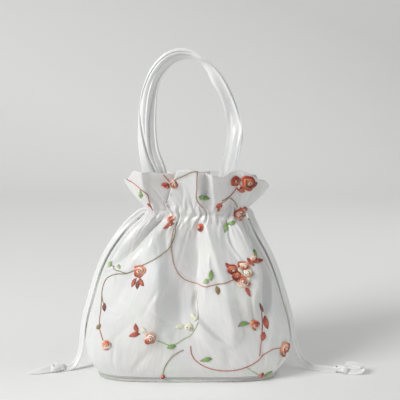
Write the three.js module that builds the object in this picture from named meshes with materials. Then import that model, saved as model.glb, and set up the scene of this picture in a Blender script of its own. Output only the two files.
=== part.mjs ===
// A drawstring bucket bag of embroidered satin: two gathered panels on a flat base, a drawstring in a
// channel round the neck, and one soft strap for a handle. Millimetres, +Z up, the origin on the floor
// under the middle of the base, -Y the front.
import * as THREE from 'three';

// Driving dimensions
const WALL = 2.0; // cloth, lining and overlay together
const SEAM_GAP = 0.3; // clear space between pieces that meet
const PIPING_RADIUS = 1.2;
const SIDE_SLIT = 2 * (PIPING_RADIUS + SEAM_GAP); // between the two panels along a side seam
const BASE_THICKNESS = 3.0;
const PANEL_FOOT = BASE_THICKNESS + 2 * (PIPING_RADIUS + SEAM_GAP);
const NECK_HEIGHT = 166;
const CORD_WIDTH = 6.0;
const CORD_THICKNESS = 2.2;
const CASING_HEIGHT = 17;
const CASING_WALL = 1.4;
const HANDLE_THICKNESS = 3.2;
const KNOT_GAP = 0.5;

// Mesh density
const PANEL_COLUMNS = 40;
const RING_COLUMNS = 44;
const HANDLE_STEPS = 44;
const CORD_STEPS = 26;
const PIPING_STEPS = 20;

// The pouch in plan, at each height: an oval whose corners grow squarer towards the base, and whose
// middle leans over to the right at the neck.
const SECTIONS = [
  { z: PANEL_FOOT, halfWidth: 92.5, halfDepth: 43, lean: 0, square: 4.2 },
  { z: 17, halfWidth: 101, halfDepth: 47, lean: 0, square: 3.7 },
  { z: 33, halfWidth: 104.5, halfDepth: 50, lean: 0, square: 3.1 },
  { z: 52, halfWidth: 102, halfDepth: 51, lean: 0, square: 2.7 },
  { z: 75, halfWidth: 95.5, halfDepth: 49.5, lean: 0, square: 2.4 },
  { z: 95, halfWidth: 89.5, halfDepth: 46.5, lean: 0, square: 2.2 },
  { z: 110, halfWidth: 84, halfDepth: 43.5, lean: 0, square: 2.1 },
  { z: 126, halfWidth: 76, halfDepth: 39, lean: 0.5, square: 2 },
  { z: 140, halfWidth: 67, halfDepth: 34, lean: 1.5, square: 2 },
  { z: 152, halfWidth: 59, halfDepth: 29, lean: 4, square: 2 },
  { z: 160, halfWidth: 52.5, halfDepth: 25.6, lean: 7, square: 2 },
  { z: NECK_HEIGHT, halfWidth: 50, halfDepth: 24.5, lean: 9, square: 2 },
  { z: 173, halfWidth: 52, halfDepth: 25.6, lean: 9, square: 2 },
  { z: 183, halfWidth: 58.5, halfDepth: 29.5, lean: 9, square: 2 },
  { z: 197, halfWidth: 66, halfDepth: 35, lean: 9, square: 2 },
  { z: 212, halfWidth: 72, halfDepth: 40, lean: 9, square: 2 },
];
const FRILL_TOP = SECTIONS[SECTIONS.length - 1].z;

// Heights of the rows of facets, in the pouch below the neck's narrowest line and in the frill above it
const POUCH_ROWS = [
  PANEL_FOOT, 13, 22, 34, 50, 68, 86, 102, 117, 130, 141, 150, 158, NECK_HEIGHT - SEAM_GAP / 2,
];
const FRILL_ROWS = [NECK_HEIGHT + SEAM_GAP / 2, 173, 180, 190, 201, FRILL_TOP];

// The valleys between the gathers of each panel. A place runs from -1 at the left seam to 1 at the right
// one, at the frill's edge, at the neck and where the valley dies away down the pouch.
const FRONT_VALLEYS = [
  { frill: -0.84, neck: -0.78, pouch: -0.8, fades: 30, width: 0.07, pouchDepth: 3.0, frillDepth: 4.0 },
  { frill: -0.17, neck: -0.44, pouch: -0.76, fades: 96, width: 0.11, pouchDepth: 13.0, frillDepth: 13.0 },
  { frill: -0.06, neck: -0.24, pouch: -0.13, fades: 34, width: 0.085, pouchDepth: 6.5, frillDepth: 3.0 },
  { frill: 0.07, neck: 0.02, pouch: 0.14, fades: 92, width: 0.05, pouchDepth: 5.0, frillDepth: 5.5 },
  { frill: 0.23, neck: 0.2, pouch: 0.36, fades: 74, width: 0.065, pouchDepth: 6.0, frillDepth: 8.0 },
  { frill: 0.52, neck: 0.42, pouch: 0.5, fades: 38, width: 0.075, pouchDepth: 5.5, frillDepth: 5.0 },
  { frill: 0.76, neck: 0.7, pouch: 0.7, fades: 58, width: 0.085, pouchDepth: 7.0, frillDepth: 6.0 },
];
const BACK_VALLEYS = [
  { frill: -0.72, neck: -0.68, pouch: -0.66, fades: 66, width: 0.09, pouchDepth: 7.0, frillDepth: 6.5 },
  { frill: -0.45, neck: -0.44, pouch: -0.46, fades: 92, width: 0.07, pouchDepth: 5.5, frillDepth: 6.0 },
  { frill: -0.2, neck: -0.23, pouch: -0.24, fades: 60, width: 0.08, pouchDepth: 6.5, frillDepth: 7.0 },
  { frill: 0.03, neck: 0.0, pouch: 0.03, fades: 88, width: 0.06, pouchDepth: 5.0, frillDepth: 5.0 },
  { frill: 0.24, neck: 0.21, pouch: 0.2, fades: 70, width: 0.07, pouchDepth: 6.0, frillDepth: 6.5 },
  { frill: 0.5, neck: 0.45, pouch: 0.48, fades: 84, width: 0.07, pouchDepth: 5.5, frillDepth: 6.0 },
  { frill: 0.76, neck: 0.7, pouch: 0.64, fades: 96, width: 0.09, pouchDepth: 8.0, frillDepth: 7.0 },
];
const NECK_VALLEY_DEPTH = 3.0;
const NECK_BAND = 7; // the valleys stay shallow this far above and below the neck's narrowest line
const DEEPEST_FOLD = 26; // how far below the neck a valley is deepest

// The height of the frill's edge along each panel
const FRONT_EDGE = [
  { place: -1, z: 198 },
  { place: -0.82, z: 202 },
  { place: -0.62, z: 211 },
  { place: -0.42, z: 209 },
  { place: -0.22, z: 209 },
  { place: -0.02, z: 215 },
  { place: 0.13, z: 209 },
  { place: 0.24, z: 205 },
  { place: 0.41, z: 211 },
  { place: 0.6, z: 205 },
  { place: 0.8, z: 196.5 },
  { place: 1, z: 190.5 },
];
const BACK_EDGE = [
  { place: -1, z: 195 },
  { place: -0.7, z: 198 },
  { place: -0.3, z: 200 },
  { place: 0, z: 199 },
  { place: 0.3, z: 200 },
  { place: 0.7, z: 197 },
  { place: 1, z: 189 },
];
const FRONT = { side: -1, valleys: FRONT_VALLEYS, edge: FRONT_EDGE };
const BACK = { side: 1, valleys: BACK_VALLEYS, edge: BACK_EDGE };

// The layers of the channel, measured in from the pouch's oval at the neck
const CORD_SETBACK = WALL + NECK_VALLEY_DEPTH + SEAM_GAP;
const HEM_SETBACK = CORD_SETBACK + SEAM_GAP;
const CASING_SETBACK = CORD_SETBACK + CORD_THICKNESS + SEAM_GAP;

// The handle, from the left foot over the top to the right one. Turn is how far the strap's flat side has
// turned to the front, in degrees.
const HANDLE_SECTIONS = [
  { x: -26.4, z: 159, width: 14, turn: 0 },
  { x: -26.4, z: 175, width: 14, turn: 0 },
  { x: -32, z: 203, width: 25, turn: 84 },
  { x: -38, z: 226, width: 21.5, turn: 86 },
  { x: -39.5, z: 248, width: 19.5, turn: 86 },
  { x: -38.7, z: 268, width: 18.5, turn: 84 },
  { x: -35.6, z: 288, width: 16.5, turn: 80 },
  { x: -28.3, z: 305, width: 16, turn: 72 },
  { x: -17.7, z: 316.3, width: 16, turn: 66 },
  { x: -7.5, z: 320.5, width: 16, turn: 58 },
  { x: 3, z: 320.3, width: 16, turn: 42 },
  { x: 10.5, z: 317, width: 17, turn: 28 },
  { x: 22.2, z: 308, width: 18, turn: 22 },
  { x: 32, z: 297, width: 19, turn: 22 },
  { x: 40.7, z: 281.6, width: 20, turn: 26 },
  { x: 45.5, z: 266, width: 21, turn: 40 },
  { x: 46.7, z: 253, width: 22, turn: 44 },
  { x: 46.4, z: 239.5, width: 22, turn: 42 },
  { x: 44.3, z: 222, width: 22, turn: 38 },
  { x: 40.5, z: 205, width: 20, turn: 36 },
  { x: 44.4, z: 175, width: 14, turn: 0 },
  { x: 44.4, z: 159, width: 14, turn: 0 },
];
// Half the strap's thickness across its width: rolled edges and a crease down the middle
const STRAP_PROFILE = [
  { across: -1, share: 0.35 },
  { across: -0.72, share: 1 },
  { across: -0.2, share: 0.85 },
  { across: 0, share: 0.5 },
  { across: 0.3, share: 0.95 },
  { across: 0.75, share: 1 },
  { across: 1, share: 0.35 },
];

// The free drawstrings: out of a side slit, down the side seam at these heights and away over the floor
const FLOOR_Z = CORD_WIDTH / 2 + SEAM_GAP;
const CORD_CLEAR = CORD_WIDTH / 2 + PIPING_RADIUS + SEAM_GAP; // from the pouch's edge to the cord's middle
const LEFT_DRAWSTRING = {
  direction: -1,
  seam: [
    { z: 155, y: 0 },
    { z: 146, y: 0 },
    { z: 134, y: -1 },
    { z: 120, y: -1 },
    { z: 104, y: 0 },
    { z: 86, y: 1 },
    { z: 68, y: 1 },
    { z: 50, y: 0 },
    { z: 34, y: -2 },
  ],
  floor: [
    { x: -110.5, y: -5, z: 20 },
    { x: -113.5, y: -8, z: 11 },
    { x: -118, y: -10.5, z: FLOOR_Z + 2.1 },
    { x: -123, y: -12, z: FLOOR_Z + 0.2 },
    { x: -128, y: -13, z: FLOOR_Z },
  ],
};
const RIGHT_DRAWSTRING = {
  direction: 1,
  seam: [
    { z: 155, y: 0 },
    { z: 146, y: 0 },
    { z: 134, y: -1 },
    { z: 120, y: -1 },
    { z: 104, y: 0 },
    { z: 86, y: 1 },
    { z: 68, y: 2 },
    { z: 50, y: 2 },
    { z: 34, y: 2 },
  ],
  floor: [
    { x: 113, y: -1, z: 18.5 },
    { x: 118.5, y: -5, z: 9 },
    { x: 127, y: -9, z: FLOOR_Z + 0.9 },
    { x: 139, y: -13, z: FLOOR_Z },
    { x: 152, y: -16, z: FLOOR_Z },
  ],
};
// Each end: an overhand knot and the two ribbon tails that leave it together, rising out of the cord's end
const KNOT_SECTIONS = [
  { along: 0, halfWidth: 2.6, halfHeight: 2.6 },
  { along: 2, halfWidth: 5.4, halfHeight: 4.4 },
  { along: 5, halfWidth: 6.6, halfHeight: 5.2 },
  { along: 8, halfWidth: 5.6, halfHeight: 4.4 },
  { along: 10, halfWidth: 3.2, halfHeight: 2.4 },
  { along: 14, halfWidth: 5.0, halfHeight: 1.4 },
  { along: 20, halfWidth: 6.6, halfHeight: 1.1 },
  { along: 28, halfWidth: 6.0, halfHeight: 1.0 },
];
const KNOT_SIDES = 12;
const KNOT_FLOOR = 0.3; // clear of the floor, so that the base alone carries the bag

const satin = (color, roughness) => new THREE.MeshStandardMaterial({ color, roughness, metalness: 0 });
const OVERLAY = satin(0xeeeeec, 0.42);
const LINING = satin(0xe9e9e6, 0.5);
const WELT = satin(0xf2f2f0, 0.38);
const STRAP = satin(0xededea, 0.36);
const RIBBON = satin(0xf3f3f0, 0.4);

// A curve through a table's rows, for each of the named columns, read at any value of the first one
function through(rows, key, columns) {
  const places = rows.map((row) => row[key]);
  const values = rows.flatMap((row) => columns.map((column) => row[column]));
  const curve = new THREE.CubicInterpolant(places, values, columns.length);
  return (at) => {
    const found = curve.evaluate(at);
    return Object.fromEntries(columns.map((column, i) => [column, found[i]]));
  };
}

const sectionAt = through(SECTIONS, 'z', ['halfWidth', 'halfDepth', 'lean', 'square']);
const smooth = THREE.MathUtils.smoothstep;
const mix = THREE.MathUtils.lerp;

// A closed skin over loops with the same even number of points. The loops follow one another; the first
// and last are joined to each other in a ring, or else each is covered by a ladder of facets between the
// points that face each other. The facets are turned outwards at the end.
function skin(loops, { ring = false } = {}) {
  const around = loops[0].length;
  const positions = loops.flat().flatMap((p) => [p.x, p.y, p.z]);
  const faces = [];
  const quad = (a, b, c, d) => faces.push(a, b, c, a, c, d);
  const spans = ring ? loops.length : loops.length - 1;
  for (let i = 0; i < spans; i += 1) {
    const low = i * around;
    const high = ((i + 1) % loops.length) * around;
    for (let j = 0; j < around; j += 1) {
      const next = (j + 1) % around;
      quad(low + j, low + next, high + next, high + j);
    }
  }
  if (!ring) {
    const last = (loops.length - 1) * around;
    for (let j = 0; j < around / 2 - 1; j += 1) {
      const facing = around - 1 - j;
      quad(j, facing, facing - 1, j + 1);
      quad(last + j, last + j + 1, last + facing - 1, last + facing);
    }
  }
  if (signedVolume(positions, faces) < 0) faces.reverse();
  const geometry = new THREE.BufferGeometry();
  geometry.setAttribute('position', new THREE.Float32BufferAttribute(positions, 3));
  geometry.setIndex(faces);
  geometry.computeVertexNormals();
  return geometry;
}

function signedVolume(positions, faces) {
  const corner = (i) => new THREE.Vector3().fromArray(positions, 3 * faces[i]);
  let sum = 0;
  for (let i = 0; i < faces.length; i += 3) {
    sum += corner(i).dot(corner(i + 1).cross(corner(i + 2)));
  }
  return sum / 6;
}

// A point of the pouch's oval at a height, at an angle from the middle of the front (or back), set in from
// the oval by a distance. Side is -1 for the front and 1 for the back.
function ovalPoint(place, z, setback, side) {
  const { halfWidth, halfDepth, lean, square } = sectionAt(z);
  const angle = (place * Math.PI) / 2;
  const power = 2 / square;
  const across = Math.sign(angle) * Math.abs(Math.sin(angle)) ** power;
  const deep = Math.abs(Math.cos(angle)) ** power;
  return new THREE.Vector3(
    lean + (halfWidth - setback) * across,
    side * (halfDepth - setback) * deep,
    z,
  );
}

// The way out of the oval at a place, level with the floor
function ovalNormal(place, z, side) {
  const { halfWidth, halfDepth } = sectionAt(z);
  const angle = (place * Math.PI) / 2;
  return new THREE.Vector3(Math.sin(angle) / halfWidth, (side * Math.cos(angle)) / halfDepth, 0).normalize();
}

// How far the cloth is drawn in at a place and a height, by all the valleys of its panel
function foldDepth(valleys, place, z) {
  let depth = 0;
  for (const valley of valleys) {
    const above = z > NECK_HEIGHT;
    const share = above
      ? (z - NECK_HEIGHT) / (FRILL_TOP - NECK_HEIGHT)
      : (NECK_HEIGHT - z) / (NECK_HEIGHT - valley.fades);
    if (share >= 1 && !above) continue;
    const middle = mix(valley.neck, above ? valley.frill : valley.pouch, share);
    const opening = smooth(Math.abs(z - NECK_HEIGHT), NECK_BAND, DEEPEST_FOLD);
    const full = mix(NECK_VALLEY_DEPTH, above ? valley.frillDepth : valley.pouchDepth, opening);
    const fade = above ? 1 : 1 - smooth(share, 0.35, 1);
    const spread = valley.width * (above ? 1 : 1 + 0.7 * share);
    depth += full * fade * Math.exp(-(((place - middle) / spread) ** 2));
  }
  const deepest = Math.abs(z - NECK_HEIGHT) < NECK_BAND ? NECK_VALLEY_DEPTH : Infinity;
  return Math.min(depth, deepest) * (1 - place ** 8);
}

// A point on one face of a panel's wall. Setback is 0 on the outer face and WALL on the inner one.
function panelPoint({ side, valleys, edge }, place, z, setback) {
  const point = ovalPoint(place, z, setback, side);
  point.addScaledVector(ovalNormal(place, z, side), -foldDepth(valleys, place, z));
  const clear = SIDE_SLIT / 2;
  point.y = side * (clear + Math.max(0, side * point.y) * (1 - clear / sectionAt(z).halfDepth));
  const fall = FRILL_TOP - through(edge, 'place', ['z'])(place).z;
  point.z -= (fall * Math.max(0, z - NECK_HEIGHT)) / (FRILL_TOP - NECK_HEIGHT);
  return point;
}

// One panel's pouch or frill: a loop across its outer face and back across its inner one at each row
function panelGeometry(panel, heights) {
  const places = Array.from({ length: PANEL_COLUMNS + 1 }, (_, i) => (2 * i) / PANEL_COLUMNS - 1);
  const back = [...places].reverse();
  const loops = heights.map((z) => [
    ...places.map((place) => panelPoint(panel, place, z, 0)),
    ...back.map((place) => panelPoint(panel, place, z, WALL)),
  ]);
  return skin(loops);
}

// The oval at a height as a full turn of points, from the right seam round by the back
function ovalRing(z, setback) {
  return Array.from({ length: RING_COLUMNS }, (_, i) => {
    const turn = (4 * i) / RING_COLUMNS;
    const side = turn < 2 ? 1 : -1;
    const place = turn < 2 ? 1 - turn : turn - 3;
    return { place, side, point: ovalPoint(place, z, setback, side) };
  });
}

// A ring whose section, a loop of rows with a height and a setback each, is carried round the pouch's oval
function ovalBand(section) {
  const rows = section.map(({ z, setback, level = z }) => {
    return ovalRing(level, 0).map(({ place, side }) => {
      return ovalPoint(place, level, setback, side).setZ(z);
    });
  });
  const loops = Array.from({ length: RING_COLUMNS }, (_, i) => rows.map((row) => row[i]));
  return skin(loops, { ring: true });
}

function basePanelGeometry() {
  const outline = ovalRing(PANEL_FOOT, 0).map(({ point }) => new THREE.Vector2(point.x, point.y));
  const shape = new THREE.Shape(outline);
  return new THREE.ExtrudeGeometry(shape, { depth: BASE_THICKNESS, bevelEnabled: false });
}

function basePipingGeometry() {
  const sides = 6;
  const section = Array.from({ length: sides }, (_, i) => {
    const angle = ((i + 0.5) * 2 * Math.PI) / sides;
    return {
      level: PANEL_FOOT,
      setback: PIPING_RADIUS * (0.6 + Math.cos(angle)),
      z: BASE_THICKNESS + SEAM_GAP + PIPING_RADIUS * (1 + Math.sin(angle)),
    };
  });
  return ovalBand(section);
}

function sidePipingGeometry(direction) {
  const top = NECK_HEIGHT - CASING_HEIGHT / 2;
  const bottom = PANEL_FOOT + SEAM_GAP;
  const route = Array.from({ length: PIPING_STEPS + 1 }, (_, i) => {
    const z = mix(bottom, top, i / PIPING_STEPS);
    const { halfWidth, lean } = sectionAt(z);
    return new THREE.Vector3(lean + direction * (halfWidth - PIPING_RADIUS / 2), 0, z);
  });
  return tubeGeometry(route, PIPING_RADIUS, PIPING_RADIUS, 6, PIPING_STEPS);
}

// A tube of oval section along a route through the points. Its thickness lies front to back where the
// route stays in a plane that faces the front.
function tubeGeometry(route, halfThickness, halfWidth, sides, steps) {
  const section = Array.from({ length: sides }, (_, i) => {
    const angle = ((i + 0.5) * 2 * Math.PI) / sides;
    return new THREE.Vector2(halfThickness * Math.cos(angle), halfWidth * Math.sin(angle));
  });
  return new THREE.ExtrudeGeometry(new THREE.Shape(section), {
    steps,
    extrudePath: new THREE.CatmullRomCurve3(route),
    bevelEnabled: false,
  });
}

// The inner wall of the channel: its two hems lie against the panels, and its middle clears the cord
function casingBandGeometry() {
  const spans = 4;
  const low = NECK_HEIGHT - CASING_HEIGHT / 2;
  const face = (extra) => Array.from({ length: spans + 1 }, (_, i) => {
    const z = low + (i * CASING_HEIGHT) / spans;
    const hem = i === 0 || i === spans;
    return { z, level: hem ? z : NECK_HEIGHT, setback: (hem ? HEM_SETBACK : CASING_SETBACK) + extra };
  });
  return ovalBand([...face(0), ...face(CASING_WALL).reverse()]);
}

function casingCordGeometry() {
  const half = CORD_WIDTH / 2;
  const inner = CORD_SETBACK + CORD_THICKNESS;
  return ovalBand([
    { level: NECK_HEIGHT, z: NECK_HEIGHT - half, setback: CORD_SETBACK },
    { level: NECK_HEIGHT, z: NECK_HEIGHT + half, setback: CORD_SETBACK },
    { level: NECK_HEIGHT, z: NECK_HEIGHT + half, setback: inner },
    { level: NECK_HEIGHT, z: NECK_HEIGHT - half, setback: inner },
  ]);
}

// The points that a drawstring runs through, from the channel to its knot
function drawstringRoute({ direction, seam, floor }) {
  const edge = (z) => sectionAt(z).lean + direction * sectionAt(z).halfWidth;
  const start = edge(NECK_HEIGHT) - direction * (CORD_SETBACK - 2 * SEAM_GAP);
  const beside = seam.map(({ z, y }) => {
    const slope = (edge(z + 1) - edge(z - 1)) / 2;
    const out = new THREE.Vector3(direction, 0, -direction * slope).setLength(CORD_CLEAR);
    return new THREE.Vector3(edge(z), y, z).add(out);
  });
  return [
    new THREE.Vector3(start, 0, NECK_HEIGHT),
    new THREE.Vector3(start + 7 * direction, 0, NECK_HEIGHT),
    ...beside,
    ...floor.map(({ x, y, z }) => new THREE.Vector3(x, y, z)),
  ];
}

function drawstringGeometry(drawstring) {
  return tubeGeometry(drawstringRoute(drawstring), CORD_THICKNESS / 2, CORD_WIDTH / 2, 8, CORD_STEPS);
}

// The knot at a drawstring's end, running on from the route's last point along the floor
function knotGeometry(drawstring) {
  const [before, end] = drawstringRoute(drawstring).slice(-2);
  const ahead = end.clone().sub(before).setZ(0).normalize();
  const aside = new THREE.Vector3(-ahead.y, ahead.x, 0);
  const loops = KNOT_SECTIONS.map(({ along, halfWidth, halfHeight }) => {
    const middle = end.clone().addScaledVector(ahead, along + KNOT_GAP);
    middle.z = Math.max(halfHeight + KNOT_FLOOR, along === 0 ? end.z : 0);
    return Array.from({ length: KNOT_SIDES }, (_, i) => {
      const angle = ((i + 0.5) * 2 * Math.PI) / KNOT_SIDES;
      const point = middle.clone().addScaledVector(aside, halfWidth * Math.cos(angle));
      point.z += halfHeight * Math.sin(angle);
      return point;
    });
  });
  return skin(loops);
}

// The strap: its section is carried along the loop, with its front edge turned outwards by each row's angle
function handleGeometry() {
  const route = new THREE.CatmullRomCurve3(HANDLE_SECTIONS.map(({ x, z }) => new THREE.Vector3(x, 0, z)));
  const rows = HANDLE_SECTIONS.map((row, i) => ({ ...row, at: i / (HANDLE_SECTIONS.length - 1) }));
  const sectionOf = through(rows, 'at', ['width', 'turn']);
  const loops = Array.from({ length: HANDLE_STEPS + 1 }, (_, i) => {
    const at = i / HANDLE_STEPS;
    const middle = route.getPoint(at);
    const along = route.getTangent(at);
    const { width, turn } = sectionOf(at);
    const outward = new THREE.Vector3(-along.z, 0, along.x);
    const angle = THREE.MathUtils.degToRad(turn);
    const edge = new THREE.Vector3(0, -Math.cos(angle), 0).addScaledVector(outward, Math.sin(angle));
    const face = edge.clone().cross(along).normalize();
    const side = (sign) => STRAP_PROFILE.map(({ across, share }) => middle.clone()
      .addScaledVector(edge, (across * width) / 2)
      .addScaledVector(face, (sign * share * HANDLE_THICKNESS) / 2));
    return [...side(1), ...side(-1).reverse()];
  });
  return skin(loops);
}

function piece(name, geometry, material) {
  const mesh = new THREE.Mesh(geometry, material);
  mesh.name = name;
  return mesh;
}

const bag = new THREE.Group();
bag.add(
  piece('front_panel', panelGeometry(FRONT, POUCH_ROWS), OVERLAY),
  piece('front_frill', panelGeometry(FRONT, FRILL_ROWS), OVERLAY),
  piece('back_panel', panelGeometry(BACK, POUCH_ROWS), OVERLAY),
  piece('back_frill', panelGeometry(BACK, FRILL_ROWS), OVERLAY),
  piece('base_panel', basePanelGeometry(), LINING),
  piece('base_piping', basePipingGeometry(), WELT),
  piece('side_piping_left', sidePipingGeometry(-1), WELT),
  piece('side_piping_right', sidePipingGeometry(1), WELT),
  piece('casing_band', casingBandGeometry(), LINING),
  piece('casing_cord', casingCordGeometry(), RIBBON),
  piece('drawstring_left', drawstringGeometry(LEFT_DRAWSTRING), RIBBON),
  piece('drawstring_right', drawstringGeometry(RIGHT_DRAWSTRING), RIBBON),
  piece('knot_left', knotGeometry(LEFT_DRAWSTRING), RIBBON),
  piece('knot_right', knotGeometry(RIGHT_DRAWSTRING), RIBBON),
  piece('handle', handleGeometry(), STRAP),
);

export default bag;
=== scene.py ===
# %% [markdown]
# # A drawstring bucket bag of embroidered satin
# The bag is two panels of white satin under a sheer overlay, gathered at the neck over a ribbon drawstring.
# The cells first set up the view, then lay the ribbons, raise the cloth, sew the trims on and embroider it.
# Sizes are in millimetres here, +Z is up and the front of the bag looks along -Y.

import bpy
import numpy as np
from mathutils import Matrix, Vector


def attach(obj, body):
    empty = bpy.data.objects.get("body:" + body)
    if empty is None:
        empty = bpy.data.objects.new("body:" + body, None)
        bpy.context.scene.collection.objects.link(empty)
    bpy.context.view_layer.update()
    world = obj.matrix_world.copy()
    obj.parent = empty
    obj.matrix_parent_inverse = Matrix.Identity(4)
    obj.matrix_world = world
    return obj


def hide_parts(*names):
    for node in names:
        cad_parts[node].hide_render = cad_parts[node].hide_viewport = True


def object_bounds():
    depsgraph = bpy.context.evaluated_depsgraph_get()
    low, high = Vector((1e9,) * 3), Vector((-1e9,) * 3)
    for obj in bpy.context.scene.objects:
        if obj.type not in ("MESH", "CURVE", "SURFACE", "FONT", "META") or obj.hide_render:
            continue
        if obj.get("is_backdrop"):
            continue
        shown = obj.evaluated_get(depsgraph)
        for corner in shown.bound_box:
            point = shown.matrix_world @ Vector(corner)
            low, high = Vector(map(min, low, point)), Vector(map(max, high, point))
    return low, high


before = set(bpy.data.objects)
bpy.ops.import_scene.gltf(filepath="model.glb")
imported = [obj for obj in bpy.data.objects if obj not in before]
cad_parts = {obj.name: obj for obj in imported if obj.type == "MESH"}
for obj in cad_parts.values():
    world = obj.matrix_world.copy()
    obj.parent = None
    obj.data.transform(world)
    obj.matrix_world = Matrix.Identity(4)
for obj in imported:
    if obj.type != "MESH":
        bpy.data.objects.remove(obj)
solid_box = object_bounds()
scene = bpy.context.scene
MM = 0.001
FULL_TURN = 2 * np.pi
print("solids in the frame:", sorted(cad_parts))

# %% [markdown]
# ## The view
# A long lens a little under a metre away flattens the bag as a product picture does. The lens follows from
# one size: a pixel of the 400 pixel wide picture covers a millimetre at the middle of the bag.

# %% Camera
PICTURE = 400
SENSOR = 36
VIEW_DISTANCE = 850.0
VIEW_PITCH = np.radians(11.5)
AIM = np.array([12.5, 0.0, 176.6])
SIGHT = np.array([0.0, np.cos(VIEW_PITCH), -np.sin(VIEW_PITCH)])
ABOVE = np.array([0.0, np.sin(VIEW_PITCH), np.cos(VIEW_PITCH)])
EYE = AIM - SIGHT * VIEW_DISTANCE

lens = bpy.data.cameras.new("view")
lens.sensor_width = SENSOR
lens.lens = SENSOR * VIEW_DISTANCE / PICTURE
camera = bpy.data.objects.new("view", lens)
camera.location = EYE * MM
camera.rotation_euler = (np.pi / 2 - VIEW_PITCH, 0, 0)
scene.collection.objects.link(camera)
scene.camera = camera


def in_picture(points):
    """Pixels and depth of points: each offset from the eye, divided by its depth along the sight line."""
    offset = points - EYE
    depth = offset @ SIGHT
    right = PICTURE / 2 + offset[..., 0] / depth * VIEW_DISTANCE
    down = PICTURE / 2 - (offset @ ABOVE) / depth * VIEW_DISTANCE
    return right, down, depth


print("lens", round(lens.lens, 1), "mm, eye at", EYE.round(1))

# %% [markdown]
# ## Curves and meshes from arrays
# Two helpers carry all the shapes. One reads a smooth curve through the rows of a table. The other joins
# grids of points into one mesh, with quads between neighbours, and hands the piece to the frame. The bag
# could also be sculpted, but the rows of a table can be read, compared with the picture and changed.


# %% Curves
def through(places, values, at):
    """A cubic curve through values at rising places: Hermite spans with slopes from the neighbours."""
    places, values, at = np.asarray(places, float), np.asarray(values, float), np.asarray(at, float)
    slopes = np.gradient(values, places, axis=0)
    low = np.clip(np.searchsorted(places, at) - 1, 0, len(places) - 2)
    span = places[low + 1] - places[low]
    t = np.clip((at - places[low]) / span, 0, 1)
    if values.ndim > 1:
        t, span = t[..., None], span[..., None]
    ends = values[low] * (1 + 2 * t) * (1 - t) ** 2 + values[low + 1] * t * t * (3 - 2 * t)
    return ends + span * (slopes[low] * t * (1 - t) ** 2 + slopes[low + 1] * t * t * (t - 1))


def smooth(x, low, high):
    """0 below low, 1 above high, and an S-curve between them."""
    t = np.clip((x - low) / (high - low), 0, 1)
    return t * t * (3 - 2 * t)


def unit(vectors):
    """Vectors at length one."""
    return vectors / np.maximum(np.linalg.norm(vectors, axis=-1, keepdims=True), 1e-9)


def angles(count):
    """Even steps round a full turn."""
    return np.arange(count) / count * FULL_TURN


def walked(points):
    """The way along a line of points to each of them, as a running sum of the steps."""
    return np.r_[0, np.cumsum(np.linalg.norm(np.diff(points, axis=0), axis=1))]


def even_path(knots, count):
    """Points at even steps along the smooth curve through the knots."""
    knots = np.asarray(knots, float)
    reach = walked(knots)
    fine = through(reach, knots, np.linspace(0, reach[-1], 40 * len(knots)))
    way = walked(fine)
    steps = np.linspace(0, way[-1], count)
    return np.stack([np.interp(steps, way, fine[:, k]) for k in range(3)], -1)


def sweep(path, section, across):
    """A section carried along a path: its first column lies along across, its second at right angles to it
    and to the path."""
    along = unit(np.gradient(path, axis=0))
    across = unit(across - along * (across * along).sum(-1, keepdims=True))
    out = np.cross(across, along)
    return path[:, None] + section[..., :1] * across[:, None] + section[..., 1:] * out[:, None]


print("a curve through 0, 1 and 0 is at", through([0, 1, 2], [0, 1, 0], 0.5), "a quarter of the way along")


# %% Grids of points and pieces
def grid_faces(shape, around=False, along=False):
    """Quads between the neighbours of a grid, which may close on itself along its columns or its rows."""
    at = np.arange(shape[0] * shape[1]).reshape(shape)
    if along:
        at = np.vstack([at, at[:1]])
    if around:
        at = np.hstack([at, at[:, :1]])
    return np.stack([at[:-1, :-1], at[1:, :-1], at[1:, 1:], at[:-1, 1:]], -1).reshape(-1, 4)


def shell(points, around=False, along=False, caps=False, colour=None):
    """A grid of points with its faces. Caps close the first and last rows of a tube."""
    shape = points.shape[:2]
    faces = grid_faces(shape, around, along).tolist()
    if caps:
        last = shape[0] * shape[1]
        faces += [list(range(shape[1])), list(range(last - shape[1], last))[::-1]]
    return points.reshape(-1, 3), faces, None if colour is None else colour.reshape(-1, 3)


def piece(name, shells, material, replaces=(), flip=False, weave=None):
    """One object from several shells, riding on the bag. Flip turns the faces of shells that run the other
    way round. Weave holds each point's place on the flat cloth, which becomes the UV map."""
    if isinstance(shells, tuple):
        shells = [shells]
    starts = np.cumsum([0] + [len(s[0]) for s in shells])
    faces = [[i + start for i in (f[::-1] if flip else f)] for s, start in zip(shells, starts) for f in s[1]]
    mesh = bpy.data.meshes.new(name)
    mesh.from_pydata((np.concatenate([s[0] for s in shells]) * MM).tolist(), [], faces)
    mesh.polygons.foreach_set("use_smooth", np.ones(len(mesh.polygons), bool))
    if shells[0][2] is not None:
        colours = np.concatenate([s[2] for s in shells])
        layer = mesh.color_attributes.new("thread", "FLOAT_COLOR", "POINT")
        layer.data.foreach_set("color", np.c_[colours, np.ones(len(colours))].ravel())
    if weave is not None:
        corners = np.empty(len(mesh.loops), int)
        mesh.loops.foreach_get("vertex_index", corners)
        mesh.uv_layers.new(name="weave").data.foreach_set("uv", (weave[corners] * MM).ravel())
    mesh.materials.append(material)
    mesh.update()
    made = bpy.data.objects.new(name, mesh)
    scene.collection.objects.link(made)
    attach(made, "root")
    if replaces:
        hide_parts(*replaces)
    print(f"{name}: {len(mesh.vertices)} points, {len(mesh.polygons)} faces")
    return made


print("a grid of 3 by 4 points has", len(grid_faces((3, 4))), "faces")

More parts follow.
